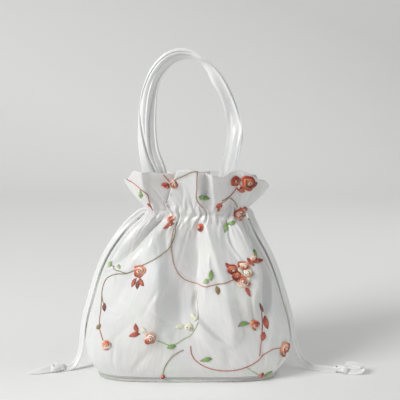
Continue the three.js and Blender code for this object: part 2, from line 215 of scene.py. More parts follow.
# %% [markdown]
# ## Satin and thread
# Satin is woven so that long threads float on its face, which gives a soft broad shine. The panels have a
# sheer overlay on top, whose crossed threads show as a faint grain and a pearly tint. Embroidery thread is
# a twisted filament with a shine of its own. A photograph of cloth could be wrapped round the pieces, but
# noise that is sized in millimetres has no seams and fits them all. The colours are plain sRGB values, made
# linear once.


# %% Colours and nodes
def linear(code):
    """Linear light from an sRGB hex code."""
    s = np.array([int(code[i:i + 2], 16) for i in (1, 3, 5)]) / 255
    return np.where(s <= 0.04045, s / 12.92, ((s + 0.055) / 1.055) ** 2.4)


def rgba(code):
    """A colour for a node's socket."""
    return (*linear(code), 1.0)


def add(tree, kind, inputs=(), **settings):
    """One shader node with its settings; an input is a plain value or another node's output."""
    made = tree.nodes.new("ShaderNode" + kind)
    for key, value in settings.items():
        setattr(made, key, value)
    for key, value in dict(inputs).items():
        if isinstance(value, bpy.types.NodeSocket):
            tree.links.new(value, made.inputs[key])
        else:
            made.inputs[key].default_value = value
    return made


def new_material(name):
    """An empty material, its node tree and its shader."""
    made = bpy.data.materials.new(name)
    made.use_nodes = True
    return made, made.node_tree, made.node_tree.nodes["Principled BSDF"]


print("a mid grey in linear light:", np.round(rgba("#808080"), 3))

# %% Woven satin
# The size of a slub across and along the warp, and of a patch where the white drifts
SLUB_WIDE, SLUB_LONG, DRIFT = 1.4 * MM, 26 * MM, 30 * MM


def cloth_material(name, light, dark, roughness, sheen, thread_gap, crinkle, crinkle_depth, on_weave=False,
                   paints_middle_shade=False):
    """Woven satin: long slubs in the warp drift between two whites, crossed threads and crinkles are bumps.
    The thread gap, the crinkle's width and its depth are in millimetres."""
    made, tree, shader = new_material(name)
    where = add(tree, "TexCoord")
    solid = where.outputs["Object"]
    place = where.outputs["UV"] if on_weave else solid
    warp = add(tree, "Mapping", {"Vector": place,
                                           "Scale": (1 / SLUB_WIDE, 1 / SLUB_LONG, 1 / SLUB_LONG)})
    slubs = add(tree, "TexNoise", {"Vector": warp.outputs["Vector"], "Scale": 1.0, "Detail": 2.0})
    drift = add(tree, "TexNoise", {"Vector": solid, "Scale": 1 / DRIFT, "Detail": 3.0})
    streak = add(tree, "Math", {0: slubs.outputs["Fac"], 1: drift.outputs["Fac"]},
                 operation="MULTIPLY")
    tint = add(tree, "Mix", {"Factor": streak.outputs[0], 6: rgba(dark), 7: rgba(light)},
               data_type="RGBA")
    pearl = add(tree, "Mix", {"Factor": 0.16, 6: tint.outputs[2], 7: drift.outputs["Color"]},
                data_type="RGBA", blend_type="OVERLAY")
    # Painted shade: the colour kept in the mesh greys the ribbon's middle, for the shade in the groove
    # between its rolled edges
    if paints_middle_shade:
        edge = add(tree, "VertexColor", layer_name="thread")
        pearl = add(tree, "Mix", {"Factor": 1.0, 6: pearl.outputs[2], 7: edge.outputs["Color"]},
                    data_type="RGBA", blend_type="MULTIPLY")
    gloss = add(tree, "MapRange", {"Value": slubs.outputs["Fac"], "To Min": roughness - 0.1,
                                             "To Max": roughness + 0.1})
    grain = add(tree, "TexNoise", {"Vector": place, "Scale": 1 / (thread_gap * MM), "Detail": 1.0})
    crease = add(tree, "TexNoise", {"Vector": solid, "Scale": 1 / (crinkle * MM), "Detail": 3.0,
                                              "Distortion": 0.8}, noise_type="RIDGED_MULTIFRACTAL")
    fine = add(tree, "Bump", {"Height": grain.outputs["Fac"], "Strength": 0.2,
                                        "Distance": 0.12 * MM})
    ribs = add(tree, "Bump", {"Height": slubs.outputs["Fac"], "Strength": 0.28,
                                        "Distance": 0.2 * MM, "Normal": fine.outputs["Normal"]})
    bump = add(tree, "Bump", {"Height": crease.outputs["Fac"], "Strength": 1.0,
                                        "Distance": crinkle_depth * MM, "Normal": ribs.outputs["Normal"]})
    tree.links.new(pearl.outputs[2], shader.inputs["Base Color"])
    tree.links.new(gloss.outputs[0], shader.inputs["Roughness"])
    tree.links.new(bump.outputs["Normal"], shader.inputs["Normal"])
    shader.inputs["IOR"].default_value = 1.55
    shader.inputs["Specular IOR Level"].default_value = 0.55
    shader.inputs["Sheen Weight"].default_value = sheen
    shader.inputs["Sheen Roughness"].default_value = 0.35
    return made


# %% The cloths of the bag
# Polyester satin under organza: white, a broad shine, a thread every 0.9 mm and crinkles of about 16 mm
overlay = cloth_material("satin_under_organza", "#fbfaf8", "#dcdcda", roughness=0.36, sheen=0.2,
                         thread_gap=0.9, crinkle=16.0, crinkle_depth=0.5, on_weave=True)
# The strap is plain bias-cut satin, smoother than the panels, with crinkles of about 14 mm
strap_satin = cloth_material("bias_cut_satin", "#fbfaf7", "#e9e9e9", roughness=0.3, sheen=0.2,
                             thread_gap=1.2, crinkle=14.0, crinkle_depth=0.4, on_weave=True)
# Ribbons and strips have a thread every 0.8 mm, and finer crinkles of about 9 mm
DENSE = {"sheen": 0.2, "thread_gap": 0.8, "crinkle": 9.0, "crinkle_depth": 0.2}
# The free ends are a ribbon of about 6 mm between two satin edges; its greyer middle is painted shade in the
# groove between them
ribbon_painted_shade = cloth_material("ribbon_painted_shade", "#ffffff", "#f4f4f2", 0.34, **DENSE, paints_middle_shade=True)
# In the channel the ribbon is bunched up, and is shown as plain satin
ribbon_satin = cloth_material("satin_ribbon", "#fbfaf7", "#ececea", 0.34, **DENSE)
# The welts are covered in a bias strip of about 3 mm, whose grey is painted shade for the dark line along the
# seams and round the base
welt_satin = cloth_material("bias_strip", "#d2d1cd", "#b8b7b3", 0.4, **DENSE)
# The base's rim is a strip that is eased in with small pleats of about 2 mm; its grey is painted shade under
# the overhanging pouch
base_satin = cloth_material("eased_base_strip", "#e6e5e1", "#cecdc9", 0.45, **DENSE)
# The band inside the neck is matt, with crinkles of about 10 mm
lining_satin = cloth_material("lining_satin", "#f3f2ee", "#e2e1de", roughness=0.5, sheen=0.15,
                              thread_gap=0.8, crinkle=10.0, crinkle_depth=0.3)
cloths = (overlay, strap_satin, ribbon_painted_shade, ribbon_satin, welt_satin, base_satin, lining_satin)
print("cloths:", [cloth.name for cloth in cloths])


# %% Embroidery thread
def thread_material(name):
    """Rayon thread: the colour of each stitch is in the mesh, and its twist of 0.7 mm is a fine bump."""
    made, tree, shader = new_material(name)
    place = add(tree, "TexCoord").outputs["Object"]
    twist = add(tree, "TexNoise", {"Vector": place, "Scale": 1 / (0.7 * MM), "Detail": 2.0})
    bump = add(tree, "Bump", {"Height": twist.outputs["Fac"], "Strength": 0.6,
                                        "Distance": 0.2 * MM})
    colour = add(tree, "VertexColor", layer_name="thread")
    tree.links.new(colour.outputs["Color"], shader.inputs["Base Color"])
    tree.links.new(bump.outputs["Normal"], shader.inputs["Normal"])
    shader.inputs["Roughness"].default_value = 0.42
    shader.inputs["Sheen Weight"].default_value = 0.3
    return made


thread = thread_material("rayon_embroidery_thread")
print("thread:", thread.name)

# %% [markdown]
# ## The outline of the pouch
# In plan the pouch is an oval at every height. Its corners grow squarer towards the flat base, and its middle
# leans to the right at the neck. A turned profile would give a round bag, so the width and the depth have
# columns of their own. The table is the one that the solids follow.

# %% Sections of the pouch
PANEL_FOOT, NECK, FRILL_TOP = 6.0, 166.0, 212.0
SIDE_SLIT = 3.0
#   height, half width, half depth, lean, squareness
SECTIONS = np.array([
    (6, 92.5, 43, 0, 4.2),
    (17, 101, 47, 0, 3.7),
    (33, 104.5, 50, 0, 3.1),
    (52, 102, 51, 0, 2.7),
    (75, 95.5, 49.5, 0, 2.4),
    (95, 89.5, 46.5, 0, 2.2),
    (110, 84, 43.5, 0, 2.1),
    (126, 76, 39, 0.5, 2),
    (140, 67, 34, 1.5, 2),
    (152, 59, 29, 4, 2),
    (160, 52.5, 25.6, 7, 2),
    (166, 50, 24.5, 9, 2),
    (173, 52, 25.6, 9, 2),
    (183, 58.5, 29.5, 9, 2),
    (197, 66, 35, 9, 2),
    (212, 72, 40, 9, 2),
])


def oval(place, height, side, setback=0.0):
    """A point on the oval at a height. Place runs from -1 at the left seam to 1 at the right one, and the
    quarter turn's sine and cosine are raised to 2 over the squareness."""
    width, depth, lean, square = np.moveaxis(through(SECTIONS[:, 0], SECTIONS[:, 1:], height), -1, 0)
    angle = place * np.pi / 2
    across = np.sign(angle) * np.abs(np.sin(angle)) ** (2 / square)
    deep = np.abs(np.cos(angle)) ** (2 / square)
    return np.stack([lean + (width - setback) * across, side * (depth - setback) * deep,
                     np.broadcast_to(height, across.shape)], -1)


def way_out(place, height, side):
    """The level direction out of the oval."""
    width, depth = np.moveaxis(through(SECTIONS[:, 0], SECTIONS[:, 1:3], height), -1, 0)
    angle = place * np.pi / 2
    return unit(np.stack([np.sin(angle) / width, side * np.cos(angle) / depth, 0 * angle], -1))


def seam_edge(direction, height):
    """Where the side seam's edge is, from the middle of the bag."""
    width, lean = through(SECTIONS[:, 0], SECTIONS[:, [1, 3]], height).T
    return lean + direction * width


print("pouch", 2 * SECTIONS[:, 1].max(), "mm wide,", 2 * SECTIONS[:, 2].max(), "mm deep")

# %% [markdown]
# ## The drawstrings
# Each ribbon comes out of a slit in the side seam at the neck, lies along the seam and runs out over the
# floor to a knot. It is a fixed length of soft tape, so its route comes first and the section is swept along
# it: flat, with a rolled edge on both sides. A bevelled curve would do for a round cord, but a swept section
# can also lean. Its middle is coloured greyer than its two satin edges, as painted shade in the groove
# between the rolled edges.

# %% Routes of the ribbons
CORD_WIDTH, CORD_THICK, CORD_CLEAR = 6.4, 2.8, 4.5
CORD_START, CORD_OUT = 4.7, 7.0
#   share of the way along, turn of the flat side out of the picture's plane in degrees
CORD_LEAN = np.array([(0, 0), (.08, 0), (.2, 34), (.7, 34), (.85, 30), (1, 30)])
#   height, distance to the back
LEFT_SEAM = [(155, 0), (146, 0), (134, -1), (120, -1), (104, 0), (86, 1), (68, 1), (50, 0), (34, -2)]
RIGHT_SEAM = [(155, 0), (146, 0), (134, -1), (120, -1), (104, 0), (86, 1), (68, 2), (50, 2), (34, 2)]
LEFT_FLOOR = [(-110.5, -5, 20), (-113.5, -8, 11), (-118, -10.5, 5.2), (-123, -12, 3.2), (-128, -13, 2.9)]
RIGHT_FLOOR = [(113, -1, 18.5), (118.5, -5, 9), (127, -9, 4), (139, -13, 2.9), (152, -16, 2.9)]


def drawstring_route(direction, seam, floor):
    """Out of the slit, then at a fixed distance from the seam's edge, square to its slope, then the floor."""
    height, back = np.array(seam, float).T
    slope = (seam_edge(direction, height + 1) - seam_edge(direction, height - 1)) / 2
    out = unit(np.stack([0 * slope + direction, -direction * slope], -1)) * CORD_CLEAR
    beside = np.stack([seam_edge(direction, height) + out[:, 0], back, height + out[:, 1]], -1)
    start = seam_edge(direction, np.array([NECK]))[0] - direction * CORD_START
    return even_path([(start, 0, NECK), (start + CORD_OUT * direction, 0, NECK), *beside, *floor], 120)


def ribbon_section(width, thickness, count=20):
    """A flat band whose thickness swells to a rolled edge on both sides."""
    angle = angles(count)
    across = np.sign(np.cos(angle)) * np.abs(np.cos(angle)) ** 0.8 * width / 2
    rolled = 0.32 + 0.68 * np.exp(-((np.abs(across) - 0.38 * width) / (0.1 * width)) ** 2)
    return np.stack([across, np.sin(angle) * rolled * thickness / 2], -1)


def groove_shade_tint(rows, section):
    """A ribbon's tint over its section: white at the two satin edges, and greyer between them as painted
    shade in the groove between the rolled edges.
    """
    share = np.abs(section[:, 0]) / np.abs(section[:, 0]).max()
    return np.broadcast_to((0.88 + 0.12 * smooth(share, 0.5, 0.75))[None, :, None], (rows, len(share), 3))


def drawstring(name, route, node, direction):
    """The ribbon leans on the seam, with its inner edge to the front, and lies tilted on the floor."""
    along = unit(np.gradient(route, axis=0))
    share = np.linspace(0, 1, len(route))
    lean = np.radians(through(CORD_LEAN[:, 0], CORD_LEAN[:, 1], share))[:, None]
    across = np.cos(lean) * np.cross(along, [0.0, 1.0, 0.0]) + np.sin(lean) * [0.0, direction, 0.0]
    section = ribbon_section(CORD_WIDTH, CORD_THICK)
    made = piece(name, shell(sweep(route, section, across), around=True, caps=True,
                             colour=groove_shade_tint(len(route), section)), ribbon_painted_shade, [node])
    length = np.linalg.norm(np.diff(route, axis=0), axis=1).sum()
    print(f"  {name} is {length:.0f} mm long")
    return made, length


left_route = drawstring_route(-1, LEFT_SEAM, LEFT_FLOOR)
right_route = drawstring_route(1, RIGHT_SEAM, RIGHT_FLOOR)
left_ribbon, left_length = drawstring("ribbon_left", left_route, "drawstring_left", -1)
right_ribbon, right_length = drawstring("ribbon_right", right_route, "drawstring_right", 1)

# %% [markdown]
# ## The knots
# Each ribbon ends in a loose overhand knot with a tail. The knot's band follows the trefoil, the curve that
# an overhand knot makes when its ends are joined, pulled long and pressed flat as soft ribbon is. The tail
# widens, lies on the floor and comes to a slanted point.

# %% Knots and tails
KNOT_LONG, KNOT_WIDE, KNOT_TALL = 2.5, 1.6, 0.9
KNOT_AHEAD, KNOT_MIDDLE = 6.0, 4.8
KNOT_BAND, TAIL_THICK = (5.6, 2.2), 1.3
#   half sizes of the ball inside the knot
KNOT_BALL = [2.5 * KNOT_LONG, 2.4 * KNOT_WIDE, 3.4]


def knot(name, route, node, tail_rows):
    """A trefoil band: (sin t + 2 sin 2t, cos t - 2 cos 2t, -sin 3t), scaled and set on the ribbon's end,
    round a ball that stands for the wraps inside. The tail's rows hold distance ahead, aside, height, half
    width and lean of its flat side in degrees."""
    end, ahead = route[-1], unit((route[-1] - route[-4]) * [1, 1, 0])
    aside, up = np.array([-ahead[1], ahead[0], 0]), np.array([0, 0, 1.0])
    t = np.linspace(0, FULL_TURN, 96, endpoint=False)
    wide, long, tall = np.sin(t) + 2 * np.sin(2 * t), np.cos(t) - 2 * np.cos(2 * t), -np.sin(3 * t)
    middle = (end + KNOT_AHEAD * ahead) * [1, 1, 0] + KNOT_MIDDLE * up
    line = (middle + KNOT_LONG * long[:, None] * ahead + KNOT_WIDE * wide[:, None] * aside
            + KNOT_TALL * tall[:, None] * up)
    along = unit(np.roll(line, -1, 0) - np.roll(line, 1, 0))
    out = unit((line - middle) * [1, 1, 1.6])
    across = unit(np.cross(along, out))
    out = np.cross(across, along)
    section = ribbon_section(*KNOT_BAND, 16)
    loop = line[:, None] + section[:, :1] * across[:, None] + section[:, 1:] * out[:, None]
    rows = np.array(tail_rows, float)
    share = np.linspace(0, 1, 48)
    far, side, height, half, lean = through(np.linspace(0, 1, len(rows)), rows, share).T
    tail = end * [1, 1, 0] + far[:, None] * ahead + side[:, None] * aside + height[:, None] * up
    lean = np.radians(lean)[:, None]
    flat = ribbon_section(2, TAIL_THICK)[None] * np.stack([half, np.ones_like(half)], -1)[:, None]
    band = sweep(tail, flat, np.cos(lean) * aside + np.sin(lean) * up)
    turn, tilt = -t[::4], np.linspace(-1.5, 1.5, 13)[:, None]
    ball = np.stack([np.cos(tilt) * np.cos(turn), np.cos(tilt) * np.sin(turn), np.sin(tilt) + 0 * turn], -1)
    lump = middle + ball * KNOT_BALL @ np.stack([ahead, aside, up])
    made = piece(name, [shell(loop, around=True, along=True, colour=groove_shade_tint(len(loop), section)),
                        shell(lump, around=True, caps=True, colour=0 * lump + 0.92),
                        shell(band, around=True, caps=True, colour=groove_shade_tint(len(band), flat[0]))],
                 ribbon_painted_shade, [node])


LEFT_TAIL = [(4, 0, 4.4, 3.2, -55), (10, 0.5, 4.2, 3.9, -56), (17, 1.5, 4.0, 3.6, -52),
             (24, 2.5, 3.0, 2.8, -46), (31, 2.0, 2.0, 1.8, -36), (36, 1.0, 1.4, 0.9, -30)]
RIGHT_TAIL = [(4, 0, 4.4, 3.2, 68), (10, -1.0, 4.0, 3.9, 62), (17, -1.5, 3.7, 3.9, 58),
              (23, -1.0, 4.6, 3.6, 50), (26, 0.5, 6.8, 3.2, 40), (23, 2.0, 8.8, 3.0, 40),
              (16, 3.0, 9.4, 2.6, 44), (9, 3.5, 9.2, 1.4, 50)]
knot("knot_end_left", left_route, "knot_left", LEFT_TAIL)
knot("knot_end_right", right_route, "knot_right", RIGHT_TAIL)

# %% [markdown]
# ## The gathered panels
# A panel is one cloth from the base to the frill, drawn together at the neck. Stiff satin doesn't ripple like
# water: it breaks into creases with nearly flat planes beside them. So each fold here is a crease that runs
# up the cloth. Its slope reaches a different way to its left and to its right, and a short slope looks like
# a lobe that hangs over its neighbour. A cloth simulation would find folds of its own, not the picture's.

# %% Folds of the front
#   each row: height, place, reach of the slope to the left and right, depth (below zero stands out)
FRONT_CREASES = [
    # the flat plane of the frill's left side, down to a pinch at the neck
    [(158, -.44, .08, .04, 0), (166, -.43, .12, .035, 9), (174, -.40, .17, .035, 12),
     (188, -.295, .25, .03, 14), (202, -.195, .29, .03, 16), (212, -.16, .31, .03, 17)],
    # the edge of the left lobe over the long grey valley
    [(30, -.16, .18, .05, 0), (55, -.15, .20, .05, -2.4), (88, -.175, .24, .05, -4.6),
     (106, -.185, .22, .05, -5), (124, -.225, .18, .05, -5), (138, -.265, .15, .045, -4.4),
     (148, -.325, .10, .04, -2.6), (156, -.395, .08, .04, 0)],
    # the long grey plane from that edge to the foot of the pleat
    [(40, 0, .14, .05, 0), (68, .01, .16, .05, 4.5), (88, .04, .22, .05, 10), (106, .065, .26, .06, 13),
     (125, .105, .34, .065, 16), (139, .115, .38, .065, 16), (150, .10, .40, .06, 10.5),
     (159, .05, .36, .05, 4.5), (168, 0, .34, .05, 0)],
    # the double pleat right of the middle
    [(98, .20, .06, .03, 0), (116, .17, .07, .035, -2), (134, .15, .07, .035, -2.4),
     (150, .12, .05, .03, -2.4), (160, .09, .04, .02, 0)],
    [(84, .28, .04, .12, 0), (100, .255, .05, .14, -3.2), (116, .24, .055, .14, -4.4),
     (132, .225, .05, .13, -4.6), (148, .185, .045, .09, -4), (160, .14, .04, .06, -1.5),
     (168, .12, .04, .05, 0)],
    # the bright lens under the pleat: its left edge is a valley and its right edge a crest
    [(40, .175, .03, .05, 0), (48, .14, .03, .09, 3.2), (60, .085, .03, .15, 4.8),
     (73, .05, .03, .18, 5.4), (88, .055, .03, .17, 4.4), (100, .10, .03, .10, 0)],
    [(38, .18, .05, .06, 0), (48, .195, .08, .07, -4.5), (60, .22, .15, .08, -7.5),
     (74, .23, .19, .08, -8.5), (88, .235, .18, .08, -7), (102, .235, .12, .07, 0)],
    # the crest that parts the light plane from the dark one at the right, and the valley beyond it
    [(60, .40, .14, .07, 0), (84, .45, .20, .08, -5), (102, .55, .24, .08, -7.5),
     (118, .575, .26, .08, -8.5), (132, .59, .26, .08, -8.5), (144, .57, .22, .07, -6.5),
     (156, .54, .16, .06, -3), (164, .52, .10, .05, 0)],
    [(46, .50, .10, .08, 0), (68, .55, .13, .08, 5), (84, .62, .17, .08, 8), (102, .74, .19, .08, 9),
     (120, .79, .20, .07, 9), (136, .81, .20, .07, 8), (150, .78, .18, .06, 6), (160, .74, .14, .05, 3),
     (168, .72, .08, .05, 0)],
    # a shallow valley at the right of the frill, and a small crease left of the crest
    [(160, .72, .05, .06, 0), (166, .70, .05, .06, 2), (180, .72, .08, .08, 2.5), (198, .74, .12, .12, 3),
     (212, .75, .14, .14, 3)],
    [(48, .39, .03, .03, 0), (62, .40, .035, .035, 2.6), (80, .42, .035, .03, 3), (98, .45, .03, .03, 0)],
    # the plane that faces away in the frill, and the gather below it
    [(120, .42, .08, .10, 0), (136, .40, .09, .10, 2.6), (152, .39, .07, .07, 3.2),
     (166, .42, .05, .10, 3.5), (180, .40, .11, .30, 7), (196, .38, .20, .46, 11), (212, .36, .24, .5, 13)],
    # short creases near the base
    [(8, .62, .04, .04, 0), (18, .62, .05, .04, 2.4), (30, .63, .05, .05, 1.6), (42, .64, .05, .05, 0)],
    [(34, -.80, .04, .05, 0), (50, -.79, .05, .06, 2.2), (66, -.79, .05, .06, 2), (82, -.80, .04, .05, 0)],
    # ridges and valleys of the frill
    [(170, -.62, .10, .04, 0), (182, -.585, .16, .04, -3.5), (200, -.52, .2, .04, -5.5),
     (212, -.48, .2, .04, -6)],
    [(168, .07, .06, .03, 0), (182, .04, .12, .03, -3.5), (198, .015, .16, .035, -6.5),
     (212, 0, .17, .04, -7)],
    [(170, .10, .03, .03, 0), (190, .085, .03, .03, 4), (212, .075, .03, .03, 5.5)],
    [(166, .19, .03, .05, 0), (178, .19, .03, .09, -3), (196, .15, .035, .12, -5),
     (212, .13, .04, .13, -5.5)],
    [(176, -.85, .10, .12, 0), (196, -.85, .12, .14, 3), (212, -.84, .12, .16, 4)],
]
FRONT_TROUGHS = [
    # the foot of the grey plane, the roll of the left lobe and a soft dip at the left
    [(14, -.02, .14, .12, 0), (40, -.02, .14, .12, 4.5), (68, -.03, .13, .12, 6), (90, -.05, .11, .12, 4),
     (112, -.08, .1, .1, 0)],
    [(104, -.55, .12, .16, 0), (120, -.46, .12, .18, -2.4), (140, -.36, .09, .15, -3.6),
     (156, -.31, .08, .11, -3), (168, -.30, .06, .08, 0)],
    [(60, -.52, .20, .16, 0), (84, -.50, .20, .16, 1.8), (106, -.44, .18, .14, 2.2),
     (124, -.36, .12, .10, 0)],
]
FRONT_VALLEYS = [
    # the deep valley under the left lobe, from the shoulder to the neck
    [(104, -.82, .14, .06, 0), (118, -.67, .22, .08, 8), (130, -.58, .28, .09, 15),
     (139, -.53, .28, .09, 18), (147, -.49, .28, .09, 19), (155, -.46, .25, .08, 16),
     (164, -.435, .16, .06, 8), (172, -.42, .10, .04, 0)],
    # the dark foot of the frill's left plane
    [(161, -.44, .06, .03, 0), (169, -.42, .08, .03, 7), (177, -.38, .09, .03, 11),
     (187, -.31, .09, .03, 10), (196, -.245, .07, .03, 5), (206, -.19, .06, .03, 0)],
    # the slits along the side seams
    [(8, .87, .05, .05, 3), (40, .87, .05, .05, 4), (80, .87, .05, .05, 5), (110, .87, .06, .05, 7),
     (135, .87, .06, .06, 9), (150, .86, .06, .06, 9), (158, .86, .06, .06, 6), (166, .86, .05, .05, 0)],
    [(8, -.87, .05, .05, 3), (40, -.87, .05, .05, 4), (80, -.87, .05, .05, 5), (110, -.87, .05, .06, 6),
     (140, -.86, .05, .07, 6), (158, -.86, .05, .06, 4), (166, -.86, .05, .05, 0)],
]
#   each row: height, place, reach to either side, slide of the cloth to the left over the valley beside it
FRONT_OVERLAPS = ([], [
    [(112, -.70, .05, .16, 0), (124, -.54, .06, .16, .025), (147, -.40, .06, .16, .04),
     (160, -.38, .05, .12, .03), (172, -.36, .04, .10, .02), (188, -.24, .04, .12, .045),
     (212, -.11, .04, .13, .05)],
], [])
FRONT_FOLDS = (FRONT_CREASES, FRONT_TROUGHS, FRONT_VALLEYS)
print("creases, troughs and valleys in the front:", [len(kind) for kind in FRONT_FOLDS])


# %% Folds of the back, and the frill's edges
def gather(frill, neck, pouch, fades, left, right, in_pouch, in_frill):
    """The rows of a plain valley: shallow at the neck, deepest a little below it, fading down the pouch."""
    low = fades + 0.45 * (NECK - fades)
    return [(fades, pouch, 1.8 * left, 1.8 * right, 0),
            (low, pouch, 1.6 * left, 1.6 * right, in_pouch),
            (NECK - 22, neck, 1.2 * left, 1.2 * right, 0.8 * in_pouch),
            (NECK, neck, 0.7 * left, 0.7 * right, 2.8),
            (NECK + 22, (neck + frill) / 2, left, right, 0.7 * in_frill),
            (FRILL_TOP, frill, 1.3 * left, right, in_frill)]


BACK_FOLDS = ([
    gather(-.76, -.70, -.70, 66, .09, .06, 7.0, 6.5),
    gather(-.45, -.44, -.48, 92, .05, .10, 5.5, 7.0),
    gather(-.20, -.23, -.24, 50, .10, .06, 6.5, 8.0),
    gather(.05, .01, .03, 88, .05, .08, 5.0, 6.0),
    gather(.26, .21, .20, 60, .10, .05, 6.0, 8.0),
    gather(.52, .45, .48, 40, .06, .10, 6.5, 7.0),
    gather(.76, .70, .66, 96, .10, .06, 8.0, 7.0),
], [], [])
#   place, height of the frill's edge
FRONT_EDGE = np.array([(-1, 198), (-0.9, 199), (-0.8, 201.5), (-0.7, 206), (-0.6, 210.5), (-0.42, 209),
                       (-0.22, 208), (-0.1, 213), (-0.02, 215), (0.06, 210), (0.13, 209), (0.24, 205),
                       (0.41, 210.5), (0.6, 205), (0.7, 200.5), (0.8, 196.5), (0.9, 193.5), (1, 190.5)])
BACK_EDGE = np.array([(-1, 195), (-0.7, 198), (-0.3, 200), (0, 199), (0.3, 200), (0.7, 197), (1, 189)])
print("gathers in the back:", len(BACK_FOLDS[0]), "highest edge:", FRONT_EDGE[:, 1].max(), "mm")

# %% From folds to depth
CREASE_ROUND, CUSP_ROUND = 0.16, 0.06


def fall_off(t, blunt):
    """One at zero, in a straight line to nothing at one, with its point blunted."""
    return 1 - (np.sqrt(t * t + blunt ** 2) - blunt) / (np.sqrt(1 + blunt ** 2) - blunt)


def tent(t):
    """A peak of one at zero that falls in straight slopes to nothing at one, with rounded feet."""
    fall = fall_off(t, CREASE_ROUND)
    return 0.5 * (fall + np.sqrt(fall * fall + 0.006)) * (t < 1.4)


def bell(t):
    """A soft peak of one at zero that is nearly gone at one."""
    return np.exp(-(1.6 * t) ** 2)


def cusp(t):
    """A sharp peak of one at zero, whose sides curve out to nothing at one as two rolls that meet do."""
    return np.maximum(fall_off(t, CUSP_ROUND), 0) ** 2.2


def fold_depth(folds, place, height):
    """The sum of the creases, troughs and valleys: at each height a tent, a bell or a cusp across the cloth,
    with its own reach on either side."""
    total = np.zeros(np.broadcast(place, height).shape)
    for shape, kind in zip((tent, bell, cusp), folds):
        for rows in kind:
            rows = np.array(rows, float)
            middle, left, right, deep = np.moveaxis(through(rows[:, 0], rows[:, 1:], height), -1, 0)
            offset = place - middle
            total += deep * shape(np.where(offset < 0, -offset / left, offset / right))
    return total


print("tent, bell and cusp half way out:", [float(shape(0.5).round(2)) for shape in (tent, bell, cusp)])

# %% [markdown]
# Between the folds the cloth still isn't flat. Handling leaves short dents with a sharp line down the middle.
# The ribbon packs the channel into fine puckers, and short gathers run out of its two seams. They are too
# many to place one by one, so they are drawn at random from a fixed seed.

# %% Dents, puckers and gathers
CLOTH_WIDTH = 250.0
CHANNEL_SEAMS = (158.0, 174.0)
DENTS, PUCKERS, GATHERS, BASE_PLEATS = 220, 80, 64, 34
PINCH_DEPTH, PUCKER_DEPTH, PLEAT_DEPTH = 1.5, 1.9, 0.35
HEM_WIDTH, HEM_STEP, HEM_STANDS = 6.0, 1.5, 0.5
SEAM_HOLDS = 14.0


def dents(place, height, seed):
    """Short creases: each a tent across its line and a bell along it, at a random spot and slant."""
    draw = np.random.default_rng(seed)
    total = np.zeros(np.broadcast(place, height).shape)
    for _ in range(DENTS):
        at, level, slant = draw.uniform(-0.95, 0.95), draw.uniform(12, 205), draw.normal(0, 0.5)
        length, width, deep = draw.uniform(7, 26), draw.uniform(1.8, 5.0), draw.normal(0, 0.5)
        right, up = (place - at) * CLOTH_WIDTH / 2, height - level
        along = up * np.cos(slant) + right * np.sin(slant)
        across = right * np.cos(slant) - up * np.sin(slant)
        total += deep * tent(np.abs(across) / width) * np.exp(-(along / length) ** 2)
    return total


def puckers(place, height, seed):
    """A zigzag across the cloth with uneven steps, which fills the channel and stops at its seams."""
    draw = np.random.default_rng(seed)
    lines = np.cumsum(draw.uniform(0.012, 0.07, PUCKERS)) - 1.1
    heights = draw.uniform(0.1, 1.5, PUCKERS) * np.tile([1, -1], PUCKERS // 2)
    zigzag = np.interp(place + 0.018 * np.sin(height / 4 + 14 * place), lines, heights)
    pinch = PINCH_DEPTH * np.exp(-((height - NECK - 1.6 * np.sin(11 * place)) / 3) ** 2)
    return pinch + PUCKER_DEPTH * zigzag * np.exp(-((height - NECK) / 9) ** 4)


def gathers(place, height, seed):
    """Creases that start at a channel seam: each a tent that widens, leans and fades away from the seam."""
    draw = np.random.default_rng(seed + 100)
    total = np.zeros(np.broadcast(place, height).shape)
    for seam, heading in zip(CHANNEL_SEAMS, (-1, 1)):
        away = np.maximum(0, (height - seam) * heading)
        starts = smooth((height - seam) * heading, -4, 3)
        for _ in range(GATHERS):
            at, lean = draw.uniform(-0.96, 0.96), draw.normal(0, 0.0015)
            length, width, deep = draw.gamma(2.0, 7.0) + 4, draw.uniform(0.014, 0.03), draw.normal(0, 1.0)
            across = np.abs(place - at * (1 - 0.0015 * heading * away) - lean * away)
            total += deep * tent(across / (width * (1 + away / 25))) * starts * np.exp(-(away / length) ** 2)
    return total


print(DENTS, "dents,", PUCKERS, "puckers and", 2 * GATHERS, "gathers in each panel")


# %% The cloth of a panel
def panel(folds, overlaps, edge, side, seed, columns=230, rows=205):
    """The oval, drawn in by the folds, dents and gathers, slid sideways where one fold laps over another,
    with the frill's edge at its own heights and a hem that stands out a little."""
    place, height = np.meshgrid(np.linspace(-1, 1, columns), np.linspace(PANEL_FOOT, FRILL_TOP, rows))
    depth = fold_depth(folds, place, height) + dents(place, height, seed)
    depth = depth + puckers(place, height, seed) + gathers(place, height, seed)
    hem = FRILL_TOP - HEM_WIDTH
    depth = depth - HEM_STANDS * smooth(height, hem, hem + HEM_STEP)
    eased = np.sin(FULL_TURN * BASE_PLEATS * (place + 0.03 * np.sin(7 * place)))
    depth = depth + PLEAT_DEPTH * eased * np.exp(-((height - PANEL_FOOT - 4) / 5) ** 2)
    held = (1 - place ** 8) * (0.15 + 0.85 * smooth(height, PANEL_FOOT, PANEL_FOOT + SEAM_HOLDS))
    slid = place - fold_depth(overlaps, place, height)
    points = oval(slid, height, side) - way_out(slid, height, side) * (depth * held)[..., None]
    half_slit = SIDE_SLIT / 2
    room = through(SECTIONS[:, 0], SECTIONS[:, 2], height)
    points[..., 1] = side * (half_slit + np.maximum(0, side * points[..., 1]) * (1 - half_slit / room))
    fall = FRILL_TOP - through(edge[:, 0], edge[:, 1], place)
    points[..., 2] -= fall * np.clip((height - NECK) / (FRILL_TOP - NECK), 0, 1)
    return place, height, points


